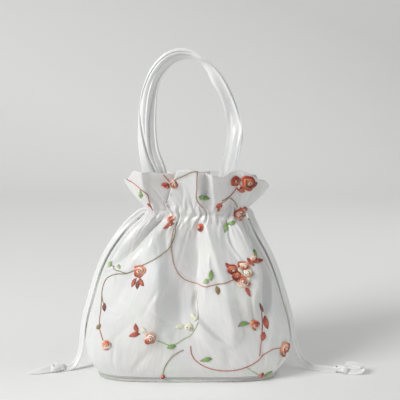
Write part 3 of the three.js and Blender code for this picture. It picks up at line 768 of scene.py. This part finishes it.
front_place, front_height, front_cloth = panel(FRONT_FOLDS, FRONT_OVERLAPS, FRONT_EDGE, side=-1, seed=3)
back_place, back_height, back_cloth = panel(BACK_FOLDS, ([], [], []), BACK_EDGE, side=1, seed=8)
print("front cloth", front_cloth.shape, "reaches", front_cloth.reshape(-1, 3).max(0).round(1))

# %% [markdown]
# The cloth is thin, so a Solidify modifier gives each panel its wall, inwards from the face that shows. A
# second grid inside would have to follow every fold again.

# %% Panels as pieces
CLOTH_WALL = 1.3


def hang(name, place, height, cloth, nodes, flip):
    """One panel with its wall."""
    flat = np.stack([place.ravel() * CLOTH_WIDTH / 2, height.ravel()], -1)
    made = piece(name, shell(cloth), overlay, nodes, flip=flip, weave=flat)
    wall = made.modifiers.new("wall", "SOLIDIFY")
    wall.thickness = CLOTH_WALL * MM
    wall.offset = -1
    return made


front = hang("pouch_front", front_place, front_height, front_cloth, ["front_panel", "front_frill"], True)
back = hang("pouch_back", back_place, back_height, back_cloth, ["back_panel", "back_frill"], False)

# %% [markdown]
# ## Base, welts and channel
# The base is a flat oval. Its rim is eased in with small pleats, and its seam allowance stands up inside the
# panels, which closes the view between them. A round welt is sewn into the seam round it and into both side
# seams. Inside the neck a band of lining closes the channel that the drawstring runs in. All of these follow
# the oval of the pouch, so the rings are made by one function that goes round it.


# %% Rings round the oval
def ring(height, setback, count=160, folded=False):
    """A full turn of the oval at a height, set in further by the folds of the panels where asked."""
    turn = np.arange(count) / count * 4
    side = np.where(turn < 2, 1, -1)
    place = np.where(turn < 2, 1 - turn, turn - 3)
    level = np.full(count, float(height))
    if folded:
        behind, ahead = fold_depth(BACK_FOLDS, place, level), fold_depth(FRONT_FOLDS, place, level)
        setback = setback + np.maximum(0, np.where(side > 0, behind, ahead)) * (1 - place ** 8)
    return oval(place, level, side, setback)


def band(rows, folded=False):
    """A closed ring from rows of height, setback and the level whose oval it follows."""
    lifted = [ring(level, setback, folded=folded) + [0, 0, height - level] for height, setback, level in rows]
    return np.stack(lifted, 1)


def round_rows(radius, height, setback, level, count=10):
    """The rows of a round welt."""
    angle = angles(count)
    return [(height + radius * np.sin(a), setback + radius * np.cos(a), level) for a in angle]


print("a ring at the neck is", np.ptp(ring(NECK, 0)[:, 0]).round(1), "mm wide")

# %% Base and welts
#   height, setback: the underside, the rim, the allowance inside the panels, the floor of the bag
BASE_ROWS = [(0, 4), (0, 2.6), (0.4, 1.7), (1.4, 1.2), (3.0, 1.2), (4.1, 1.6),
             (7.5, 1.8), (7.5, 2.7), (4.6, 3.2), (4.6, 6.2)]
BASE_TICKS, TICK_DEPTH, RIM_TOP = 480, 0.9, 4.0
SIDE_WELT_RADIUS, WELT_PROUD, WELT_ENDS = 1.5, 0.3, NECK - 8.5


def base_ring(height, setback):
    """The foot's oval. On the rim its setback alternates by random amounts, as the ticks of an eased edge."""
    draw = np.random.default_rng(21)
    ticks = np.tile([TICK_DEPTH, -TICK_DEPTH], BASE_TICKS // 2) * draw.uniform(0.2, 1.0, BASE_TICKS)
    oval_ring = ring(PANEL_FOOT, setback + ticks * (0 < height < RIM_TOP), BASE_TICKS)
    return oval_ring * [1, 1, 0] + [0, 0, height]


base_rings = np.stack([base_ring(z, s) for z, s in BASE_ROWS], 0)
piece("base", shell(base_rings, around=True, caps=True), base_satin, ["base_panel"], flip=True)
welt_rings = band(round_rows(radius=0.8, height=5.3, setback=0.7, level=PANEL_FOOT))
piece("welt_base", shell(welt_rings, around=True, along=True), welt_satin, ["base_piping"], flip=True)


def side_welt(name, direction, node):
    """A round cord up the side seam."""
    height = np.linspace(PANEL_FOOT + 0.3, WELT_ENDS, 90)
    path = np.stack([seam_edge(direction, height) + direction * WELT_PROUD, 0 * height, height], -1)
    angle = angles(10)
    section = SIDE_WELT_RADIUS * np.stack([np.cos(angle), np.sin(angle)], -1)
    across = np.broadcast_to([0.0, 1.0, 0.0], path.shape)
    tube = sweep(path, section, across)
    piece(name, shell(tube, around=True, caps=True), welt_satin, [node])


side_welt("welt_left", -1, "side_piping_left")
side_welt("welt_right", 1, "side_piping_right")

# %% Channel
#   rows: height, setback, the level whose oval is followed
HEM, MIDDLE, CHANNEL_WALL = 2.6, 5.3, 1.2
CHANNEL_ROWS = [(157.5, HEM, 157.5), (161.75, MIDDLE, 166), (170.25, MIDDLE, 166), (174.5, HEM, 174.5)]
INNER_ROWS = [(z, setback + CHANNEL_WALL, level) for z, setback, level in CHANNEL_ROWS[::-1]]
channel_rings = band(CHANNEL_ROWS + INNER_ROWS, folded=True)
channel = piece("channel_band", shell(channel_rings, around=True, along=True), lining_satin,
                ["casing_band"])
HIDDEN_ROWS = [(163, 2.9, 166), (169, 2.9, 166), (169, 4.8, 166), (163, 4.8, 166)]
piece("channel_cord", shell(band(HIDDEN_ROWS, folded=True), around=True, along=True), ribbon_satin,
      ["casing_cord"])

# %% [markdown]
# ## The handle
# One soft strap is sewn in at both sides of the neck. It has twisted, so its inner face shows in the picture.
# Its section has rolled edges and lengthwise folds, and is swept along the loop with a turn at each row. A
# flat strip could be bent along a curve, but the twist of each stretch would be hard to set.

# %% Rows of the strap
#   x, height, width, turn of the flat side to the front in degrees
HANDLE = np.array([
    (-26.4, 159, 14, 0), (-26.4, 175, 14, 0), (-32, 203, 25, 84), (-38, 226, 21.5, 86),
    (-39.5, 248, 19.5, 86), (-38.7, 268, 18.5, 84), (-35.6, 288, 16.5, 80), (-28.3, 305, 16, 72),
    (-17.7, 316.3, 16, 66), (-7.5, 320.5, 16, 58), (3, 320.3, 16, 42), (10.5, 317, 16, 26),
    (22.2, 308, 14, 50), (29.5, 297, 15, 72), (38, 281.6, 14, 76), (43.5, 266, 15.5, 74),
    (46, 253, 18.5, 60), (45.8, 239.5, 21, 46), (43.5, 222, 22.5, 42), (39.5, 205, 21, 40),
    (44.4, 175, 14, 0), (44.4, 159, 14, 0),
])
#   each row: share of the way along, place across, reach to either side, depth
STRAP_FOLDS = ([
    # the long ridge that parts the outer band from the inner plane
    [(.03, .30, 1.1, .65, 0), (.12, .30, 1.2, .65, -2.6), (.25, .45, 1.25, .55, -3.6),
     (.38, .6, 1.4, .4, -3.6), (.48, .65, 1.5, .35, -3), (.58, .65, 1.5, .35, -1.6),
     (.68, .65, 1.4, .35, 0)],
    # the crease that crosses the left leg from the middle of its foot to the outer edge
    [(.04, -.20, .14, .10, 0), (.10, -.10, .16, .10, 1.8), (.18, .20, .18, .10, 2.4),
     (.26, .62, .18, .10, 2.2), (.32, .88, .16, .10, 0)],
    # fine creases and low ridges along the inner plane and the top
    [(.28, .86, .10, .08, 0), (.34, .76, .12, .08, 1.6), (.42, .68, .12, .08, 1.9),
     (.50, .60, .12, .08, 1.6), (.58, .50, .10, .08, 0)],
    [(.10, -.35, .10, .08, 0), (.18, -.20, .12, .08, 1.3), (.27, -.18, .12, .08, 1.5),
     (.35, -.45, .12, .08, 1.3), (.44, -.65, .10, .10, 0)],
    [(.36, .05, .12, .10, 0), (.44, .12, .14, .10, 1.4), (.52, .10, .12, .10, 1.2), (.60, 0, .10, .10, 0)],
    [(.04, -.80, .14, .12, 0), (.15, -.80, .16, .12, -2), (.35, -.80, .16, .12, -2.2),
     (.50, -.8, .14, .12, 0)],
    [(.14, .02, .12, .12, 0), (.22, .06, .14, .12, -1.3), (.34, .08, .14, .12, -1.5),
     (.46, .0, .12, .12, 0)],
    # the folds of the right leg: a turned edge, an outer line, the crease that crosses it and a low ridge
    [(.70, -.45, .50, .30, 0), (.77, -.52, .45, .20, 3.2), (.90, -.50, .45, .20, 3.4),
     (.98, -.40, .40, .30, 0)],
    [(.49, .70, .12, .09, 0), (.55, .72, .12, .09, 2.2), (.66, .74, .12, .09, 2.8),
     (.80, .78, .12, .09, 2.4), (.94, .80, .10, .10, 0)],
    [(.52, .40, .60, .25, 0), (.58, .35, .80, .25, 2.5), (.64, .25, .90, .25, 4),
     (.69, .30, 1.0, .25, 4.6), (.73, .45, 1.1, .20, 4.4), (.77, .70, .90, .16, 2),
     (.80, .90, .50, .10, 0)],
    [(.74, .10, .40, .30, 0), (.78, .15, .50, .35, -2.2), (.84, .15, .50, .40, -2),
     (.92, .15, .40, .40, 0)],
], [], [])
print("the strap has", len(HANDLE), "rows and", len(STRAP_FOLDS[0]), "folds")


# %% Strap
def strap(count=290, around=112):
    """The section is a thin band with rolled edges. Both of its faces are bent along the same creases, which
    run along the strap as folds run up the cloth."""
    reach = np.r_[0, np.cumsum(np.hypot(*np.diff(HANDLE[:, :2], axis=0).T))]
    at = np.linspace(0, reach[-1], count)
    x, height, width, turn = through(reach, HANDLE, at).T
    path = np.stack([x, 0 * x, height], -1)
    along = unit(np.gradient(path, axis=0))
    outward = np.stack([-along[:, 2], 0 * x, along[:, 0]], -1)
    turn = np.radians(turn)[:, None]
    across = np.cos(turn) * [0.0, -1.0, 0.0] + np.sin(turn) * outward
    angle = angles(around)
    part = 2 / np.pi * np.arcsin(0.995 * np.cos(angle))
    rolled = 0.7 + 0.9 * np.exp(-((np.abs(part) - 0.88) / 0.1) ** 2)
    share = np.broadcast_to((at / reach[-1])[:, None], (count, around))
    bend = fold_depth(STRAP_FOLDS, np.broadcast_to(part, share.shape), share)
    section = np.stack([part * width[:, None] / 2, np.sin(angle) * rolled + bend], -1)
    flat = np.stack([section[..., 0], np.broadcast_to(at[:, None], share.shape)], -1)
    return sweep(path, section, across), flat.reshape(-1, 2)


strap_points, strap_flat = strap()
handle = piece("strap", shell(strap_points, around=True, caps=True), strap_satin, ["handle"],
               weave=strap_flat)

# %% [markdown]
# ## The embroidery
# Vines, rosettes and leaves are sewn on with a shaded thread, thick enough to stand up from the cloth. Each
# is a cord laid on the surface: a vine follows a line, a rosette winds out in a spiral, and a leaf is short
# and swells in the middle. Stitches could be painted on the cloth, but raised cords catch the light as thread
# does. Their spots are picked in the picture, and dropped along the line of sight on the cloth. The back
# repeats them.

# %% Finding a spot on the cloth
FARTHER, FACING_AWAY = 0.05, 900.0


def normals_of(cloth, side):
    """The way out of the cloth: the cross product of its two directions."""
    rows, columns = np.gradient(cloth, axis=(0, 1))
    return unit(np.cross(columns, rows)) * -side


front_out, back_out = normals_of(front_cloth, -1), normals_of(back_cloth, 1)
for panel_side, out in (("front", front_out), ("back", back_out)):
    print(f"mean way out of the {panel_side}, along Y: {out[..., 1].mean():.2f}")


def spots(picks):
    """Place and height of the front cloth under picked pixels: the nearest grid point that faces the eye."""
    right, down, depth = in_picture(front_cloth)
    hidden_side = ((front_cloth - EYE) * front_out).sum(-1) > 0
    picks = np.asarray(picks, float)[:, :2, None, None]
    miss = (right - picks[:, 0]) ** 2 + (down - picks[:, 1]) ** 2
    miss = miss + FARTHER * depth + FACING_AWAY * hidden_side
    best = miss.reshape(len(picks), -1).argmin(1)
    return np.stack([front_place.ravel()[best], front_height.ravel()[best]], -1)


def on_cloth(panel_side, spot):
    """Points and directions out of the cloth at places and heights: the grid read between its points. The
    back has the same design, seen from behind."""
    cloth, out = (front_cloth, front_out) if panel_side == "front" else (back_cloth, back_out)
    place = spot[..., 0] if panel_side == "front" else -spot[..., 0]
    rows, columns = cloth.shape[:2]
    across = np.clip((place + 1) / 2 * (columns - 1), 0, columns - 1.001)
    up = np.clip((spot[..., 1] - PANEL_FOOT) / (FRILL_TOP - PANEL_FOOT) * (rows - 1), 0, rows - 1.001)
    i, j = up.astype(int), across.astype(int)
    u, v = (up - i)[..., None], (across - j)[..., None]
    mixed = [(1 - u) * ((1 - v) * grid[i, j] + v * grid[i, j + 1])
             + u * ((1 - v) * grid[i + 1, j] + v * grid[i + 1, j + 1]) for grid in (cloth, out)]
    return mixed[0], unit(mixed[1])


def beside(spot, right, up):
    """Spots that lie some millimetres right of and above a spot, by the cloth's own stretch there."""
    aside, rise = 0.02, 3.0
    near, _ = on_cloth("front", spot + np.array([(aside, 0), (-aside, 0), (0, rise), (0, -rise)]))
    per_place = np.linalg.norm(near[0] - near[1]) / (2 * aside)
    per_height = np.linalg.norm(near[2] - near[3]) / (2 * rise)
    return spot + np.stack([right / per_place, up / per_height], -1)


# %% [markdown]
# The thread is dyed in stretches, so its colour changes along each cord. Its stops are evenly spaced, and the
# colour runs smoothly from one stop to the next. It is kept in the mesh, so one material serves every cord.

# %% Threads
THREADS = {
    "rust": ["#9a7458", "#b47a5a", "#c08460", "#a06c4a"],
    "olive": ["#857a55", "#9a7f55", "#84764f", "#a5825c"],
    "scarlet": ["#a84a30", "#c06a48", "#ad5236", "#c97a58"],
    "deep_rose": ["#f6c9ae", "#9a2410", "#ec9068", "#861a0a", "#dc6440", "#8e2610"],
    "coral_rose": ["#fff2e4", "#c24c24", "#fbdcc4", "#b43e1a", "#f2a884", "#b24420"],
    "pale_rose": ["#fff8ee", "#d9764e", "#fdeee2", "#cb643c", "#f8d8c2", "#c46038"],
    "cream_rose": ["#fbf3e0", "#f3dcc0", "#fdf6e8", "#eab894", "#f8e8d2", "#e8ae8a"],
    "cream": ["#f4efdc", "#e9e6cf", "#f1ecd9", "#e6e2c6"],
    "leaf": ["#6c8f4c", "#97b673", "#82a75c", "#5e8144"],
    "sprig": ["#a9bd86", "#bccb9c", "#9fb67a", "#b2c490"],
    "red_leaf": ["#943c2e", "#c56a52", "#b05040", "#823226"],
    "brown_bud": ["#6b3a2c", "#7d4634", "#8a4a36", "#5c3026"],
}
print("threads:", ", ".join(THREADS))

# %% Cords on the cloth
CORD_SIDES = 8
STITCH = 2.0


def dyed(thread_name, share):
    """The thread's colour at shares of its length."""
    stops = np.array([linear(code) for code in THREADS[thread_name]])
    return through(np.linspace(0, 1, len(stops)), stops, share).clip(0, 1)


def sewn(panel_side, line, half_width, half_height, colours):
    """A cord along a line of spots: an oval section that lies on the cloth and is sunk a little into it."""
    points, out = on_cloth(panel_side, line)
    angle = angles(CORD_SIDES)
    section = np.stack([np.cos(angle) * half_height[:, None], np.sin(angle) * half_width[:, None]], -1)
    tube = sweep(points + out * (0.7 * half_height)[:, None], section, out)
    return shell(tube, around=True, caps=True, colour=np.repeat(colours[:, None], CORD_SIDES, 1))


def stitched(length, count):
    """Chain stitches swell once in each stitch length of a cord."""
    return 0.85 + 0.3 * np.abs(np.sin(np.linspace(0, np.pi * length / STITCH, count)))


print("a cord swells between", stitched(10, 99).min().round(2), "and", stitched(10, 99).max().round(2))


# %% Vines, rosettes and leaves
def vine(panel_side, picks, thread_name, radius=0.4):
    """A cord through picked spots, with a point every millimetre."""
    knots = spots(picks)
    points, _ = on_cloth("front", knots)
    reach = walked(points)
    count = int(reach[-1]) + 2
    line = through(reach, knots, np.linspace(0, reach[-1], count))
    swell = radius * stitched(reach[-1], count)
    return sewn(panel_side, line, swell, swell, dyed(thread_name, np.linspace(0, 1, count)))


def rosette(panel_side, pick, size, thread_name, seed):
    """A cord wound out in a wavering spiral, domed in the middle: the radius grows with the root of the
    share. The dye changes by ring and by stretch, and a painted highlight makes the thread paler at the upper
    left."""
    draw = np.random.default_rng(int(10 * seed) + 5)
    turns = max(1.8, size / 4.4)
    count = int(28 * turns)
    share = np.linspace(0, 1, count)
    angle = seed + FULL_TURN * turns * np.sqrt(share)
    waver = 1 + 0.09 * np.sin(3 * angle + 2 * seed) + 0.06 * np.sin(5 * angle - seed)
    radius = (size / 2 - 0.8) * np.sqrt(share) * waver
    line = beside(spots([pick])[0], radius * np.cos(angle), radius * np.sin(angle) * draw.uniform(0.85, 1.0))
    swell = stitched(FULL_TURN * turns * size / 4, count)
    stretches = np.interp(share, np.linspace(0, 1, 16), draw.uniform(0.7, 1.25, 16))[:, None]
    # Painted highlight: the thread is paler towards the upper left, where the window light comes from
    painted_highlight = 1 + 0.3 * np.cos(angle - 2.4)[:, None]
    height = (0.8 + 0.8 * (1 - share)) * draw.uniform(0.85, 1.15, count)
    colours = dyed(thread_name, share) * stretches * painted_highlight
    return sewn(panel_side, line, 0.95 * swell, height, colours.clip(0, 1))


def leaf(panel_side, pick, length, turn, thread_name, width=2.6):
    """A short cord that swells to its middle and comes to a point, turned by an angle in degrees."""
    share = np.linspace(0, 1, 18)
    along = (share - 0.5) * length
    heading = np.radians(turn)
    bow = 0.06 * length * np.cos(np.pi * (share - 0.5))
    line = beside(spots([pick])[0], along * np.cos(heading) - bow * np.sin(heading),
                  along * np.sin(heading) + bow * np.cos(heading))
    swell = np.sin(np.pi * np.clip(share, 0.03, 0.97)) ** 0.75 * (0.9 + 0.18 * np.sin(along * 4.2))
    return sewn(panel_side, line, width * swell * min(1, length / 8), 0.8 * swell, dyed(thread_name, share))


print("kinds of stitching:", [kind.__name__ for kind in (vine, rosette, leaf)])

# %% [markdown]
# The layout is a free growth of vines with rosettes at their ends. It is read off the picture, as a random
# growth wouldn't match it. A rosette's row holds its spot in the picture, its size in millimetres and its
# thread. A leaf's row holds its spot, length, heading in degrees and thread, and some have a width.

# %% Layout of the embroidery
VINES = [
    ("scarlet", [(126, 178), (137, 186), (146.6, 194), (149, 201), (151, 207)]),
    ("olive", [(172, 184), (184, 176), (198, 169)]),
    ("scarlet", [(163.5, 174.5), (166, 178.5), (169, 182)]),
    ("rust", [(198, 170), (197, 180), (196.6, 188), (197, 200), (203, 208)]),
    ("scarlet", [(218, 204), (228, 198), (234, 192), (236, 188)]),
    ("olive", [(222, 201), (231, 199), (236, 203), (238, 207)]),
    ("olive", [(177, 222), (175, 234), (172, 243), (156, 258), (142, 266), (127, 273), (114, 274.5),
               (106, 280), (102, 292), (105, 308)]),
    ("rust", [(102, 292), (101, 310), (99.5, 326), (103, 340)]),
    ("olive", [(110, 265), (118, 271), (127, 273)]),
    ("rust", [(174, 228), (171, 250), (174, 266), (183, 278), (199, 284), (215, 285), (229, 282),
              (235, 279)]),
    ("cream", [(196, 292), (198, 306), (198, 318)]),
    ("sprig", [(198, 322), (192, 332), (185, 338), (172, 345), (158, 341)]),
    ("scarlet", [(192, 346), (192.5, 354), (199, 363), (213, 369), (231, 371), (247, 367), (258, 361),
                 (264, 354), (273, 349), (281, 348)]),
    ("scarlet", [(260, 356), (261.4, 338), (262.5, 319), (261, 306)]),
    ("olive", [(184, 350), (172, 358), (166, 367), (164, 376)]),
    ("sprig", [(247, 368), (254, 372), (260, 377)]),
]
ROSETTES = [
    (249.5, 182.5, 18, "deep_rose"), (236.5, 180.5, 12, "deep_rose"), (239.5, 187, 8, "coral_rose"),
    (173.5, 184, 12, "coral_rose"), (166.5, 185.5, 9, "deep_rose"), (240, 212.5, 16, "coral_rose"),
    (219, 206, 8, "deep_rose"), (172.5, 219, 9, "coral_rose"), (200.5, 227.5, 11, "deep_rose"),
    (139.5, 272, 15, "coral_rose"), (107, 345, 12, "pale_rose"), (149.5, 338.5, 14, "pale_rose"),
    (232.5, 270, 13, "deep_rose"), (236, 276.5, 12, "deep_rose"), (244.5, 267, 12, "coral_rose"),
    (248.5, 273, 12, "cream_rose"), (243, 281, 14, "pale_rose"), (254, 259, 10, "coral_rose"),
    (254.5, 325, 12, "coral_rose"), (285, 348, 16, "coral_rose"), (188, 327, 9, "cream"),
    (164, 377, 4.5, "red_leaf"), (261, 378, 5, "red_leaf"),
]
LEAVES = [
    (141, 193, 9, 240, "leaf"), (139.5, 196, 7, 200, "leaf"), (201, 197, 9, 170, "leaf"),
    (206, 198.5, 8, 10, "leaf"), (226.5, 227, 12, 60, "leaf"), (232.5, 223.5, 9, 20, "leaf"),
    (212, 275.5, 11, 78, "leaf"), (207, 281.5, 9, 25, "sprig"), (255.5, 253.5, 10, 78, "leaf"),
    (243, 324.5, 13, 5, "leaf"), (171, 347, 9, 10, "leaf"), (207, 360.5, 13, 12, "leaf"),
    (268, 377, 8, 30, "leaf"), (110, 264.5, 7, 70, "sprig"), (119, 266, 6, 120, "sprig"),
    (216.5, 291, 9, 268, "olive"), (98.5, 326, 7, 230, "olive"), (151, 206.5, 9, 115, "red_leaf"),
    (105, 307, 9, 110, "brown_bud"), (261.5, 307.5, 10, 100, "brown_bud"),
    (134.5, 282.5, 10, 75, "red_leaf"), (141.5, 282.5, 10, 135, "red_leaf"),
    (138, 284.5, 9, 95, "brown_bud"), (137, 328, 11, 120, "red_leaf"), (134.5, 335, 11, 20, "red_leaf"),
    (251, 262, 10, 115, "red_leaf"), (258.5, 262, 11, 20, "red_leaf"), (240.5, 264.5, 9, 40, "scarlet"),
    (248.5, 291.5, 12, 97, "red_leaf", 2.2), (266, 322, 14, 78, "red_leaf", 4),
    (264, 336, 10, 60, "red_leaf", 3.4), (241.5, 190, 9, 165, "red_leaf"),
    (169.5, 225.5, 9, 45, "red_leaf"), (144, 330, 9, 150, "cream"), (180, 327, 9, 10, "cream"),
    (195, 319, 9, 60, "cream"), (193, 316, 8, 130, "cream"), (218.5, 210, 6, 100, "scarlet"),
    (240.5, 276.5, 8, 40, "cream"), (240, 271, 8, 120, "cream"), (229.5, 266.5, 9, 130, "red_leaf"),
    (249, 279, 7, 60, "cream"),
]
print(len(VINES), "vines,", len(ROSETTES), "rosettes and", len(LEAVES), "leaves")


# %% Embroidery on both panels
def embroider(panel_side):
    """Three pieces for one panel."""
    vines = [vine(panel_side, picks, name) for name, picks in VINES]
    roses = [rosette(panel_side, row[:2], row[2], row[3], 0.7 * k) for k, row in enumerate(ROSETTES)]
    leaves = [leaf(panel_side, row[:2], *row[2:]) for row in LEAVES]
    for name, shells in (("vines", vines), ("rosettes", roses), ("leaves", leaves)):
        piece(f"{panel_side}_{name}", shells, thread)


embroider("front")
embroider("back")

# %% [markdown]
# ## Stage and light
# The floor sweeps up into the backdrop, where a flat plane would show an edge. A large soft light stands at
# the left, like a window, a weak one at the right stands for the light that a pale wall sends back, and a
# third, behind the bag and turned away from it, lights the far end of the floor. The paper's colour is
# darker towards its upper right, as painted shade where the light falls off.


# %% Floor
def sweep_floor():
    """A sheet that is flat, then bends up in a quarter circle: a profile in Y and Z, drawn out along X."""
    bend = np.linspace(0, np.pi / 2, 24)
    near, far, radius, tall, half_width = -2500.0, 900.0, 500.0, 1500.0, 2500.0
    curve = np.stack([far + radius * np.sin(bend), radius * (1 - np.cos(bend))], -1)
    profile = np.r_[[(near, 0)], curve, [(far + radius, radius + tall)]]
    across = np.broadcast_to([half_width, -half_width], (len(profile), 2))
    return np.stack([across, *[np.repeat(profile[:, k:k + 1], 2, 1) for k in (0, 1)]], -1)


def paper_with_painted_falloff(name, near, far):
    """Paper without shine, with painted shade: its grey grows with height, and slower to the right, over half
    a metre.
    """
    made, tree, shader = new_material(name)
    where = add(tree, "TexCoord")
    place = add(tree, "SeparateXYZ", {"Vector": where.outputs["Object"]})
    rise = add(tree, "Math", {0: place.outputs["X"], 1: 0.4, 2: place.outputs["Z"]},
               operation="MULTIPLY_ADD")
    share = add(tree, "MapRange", {"Value": rise.outputs[0], "From Min": 30 * MM,
                                             "From Max": 500 * MM})
    tint = add(tree, "Mix", {"Factor": share.outputs[0], 6: rgba(near), 7: rgba(far)},
               data_type="RGBA")
    tree.links.new(tint.outputs[2], shader.inputs["Base Color"])
    shader.inputs["Roughness"].default_value = 0.7
    return made


points, faces, _ = shell(sweep_floor())
floor_mesh = bpy.data.meshes.new("floor")
floor_mesh.from_pydata((points * MM).tolist(), [], faces)
floor_mesh.polygons.foreach_set("use_smooth", np.ones(len(faces), bool))
# Painted shade: the second colour greys the backdrop towards its upper right, where less light reaches it
floor_mesh.materials.append(paper_with_painted_falloff("backdrop_paper", "#fafaf8", "#dfdfdc"))
floor = bpy.data.objects.new("floor", floor_mesh)
scene.collection.objects.link(floor)
floor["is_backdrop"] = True
print("floor:", len(floor_mesh.polygons), "faces")


# %% Lights
def area_light(name, place, aim, size, power):
    """A square light that looks at a point. Its place and size are in metres, its power in watts."""
    data = bpy.data.lights.new(name, "AREA")
    data.size, data.energy = size, power
    made = bpy.data.objects.new(name, data)
    made.location = place
    made.rotation_euler = (Vector(aim) - Vector(place)).to_track_quat("-Z", "Y").to_euler()
    scene.collection.objects.link(made)


area_light("window", (-1.22, -0.78, 1.05), aim=(0, 0, 0.1), size=0.6, power=19.4)
area_light("backdrop", (0.5, 0.45, 0.7), aim=(0.42, 1.4, 0.0), size=0.6, power=1.2)
area_light("side_wall", (1.2, -0.2, 0.6), aim=(0, 0, 0.12), size=0.8, power=3.3)
world = bpy.data.worlds.new("room")
scene.world = world
world.use_nodes = True
world.node_tree.nodes["Background"].inputs["Color"].default_value = rgba("#f2f4f6")
world.node_tree.nodes["Background"].inputs["Strength"].default_value = 0.36
scene.view_settings.view_transform = "Standard"
print("lights:", [light.name for light in bpy.data.lights])

# %% [markdown]
# ## Sizes
# Both boxes are kept and printed: the one of the imported solids, and the one of the finished pieces.

# %% Sizes and finish
dressed_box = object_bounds()
for name, box in (("solids", solid_box), ("finished bag", dressed_box)):
    print(f"size of the {name} in metres:", np.ptp(np.array(box), axis=0).round(4))
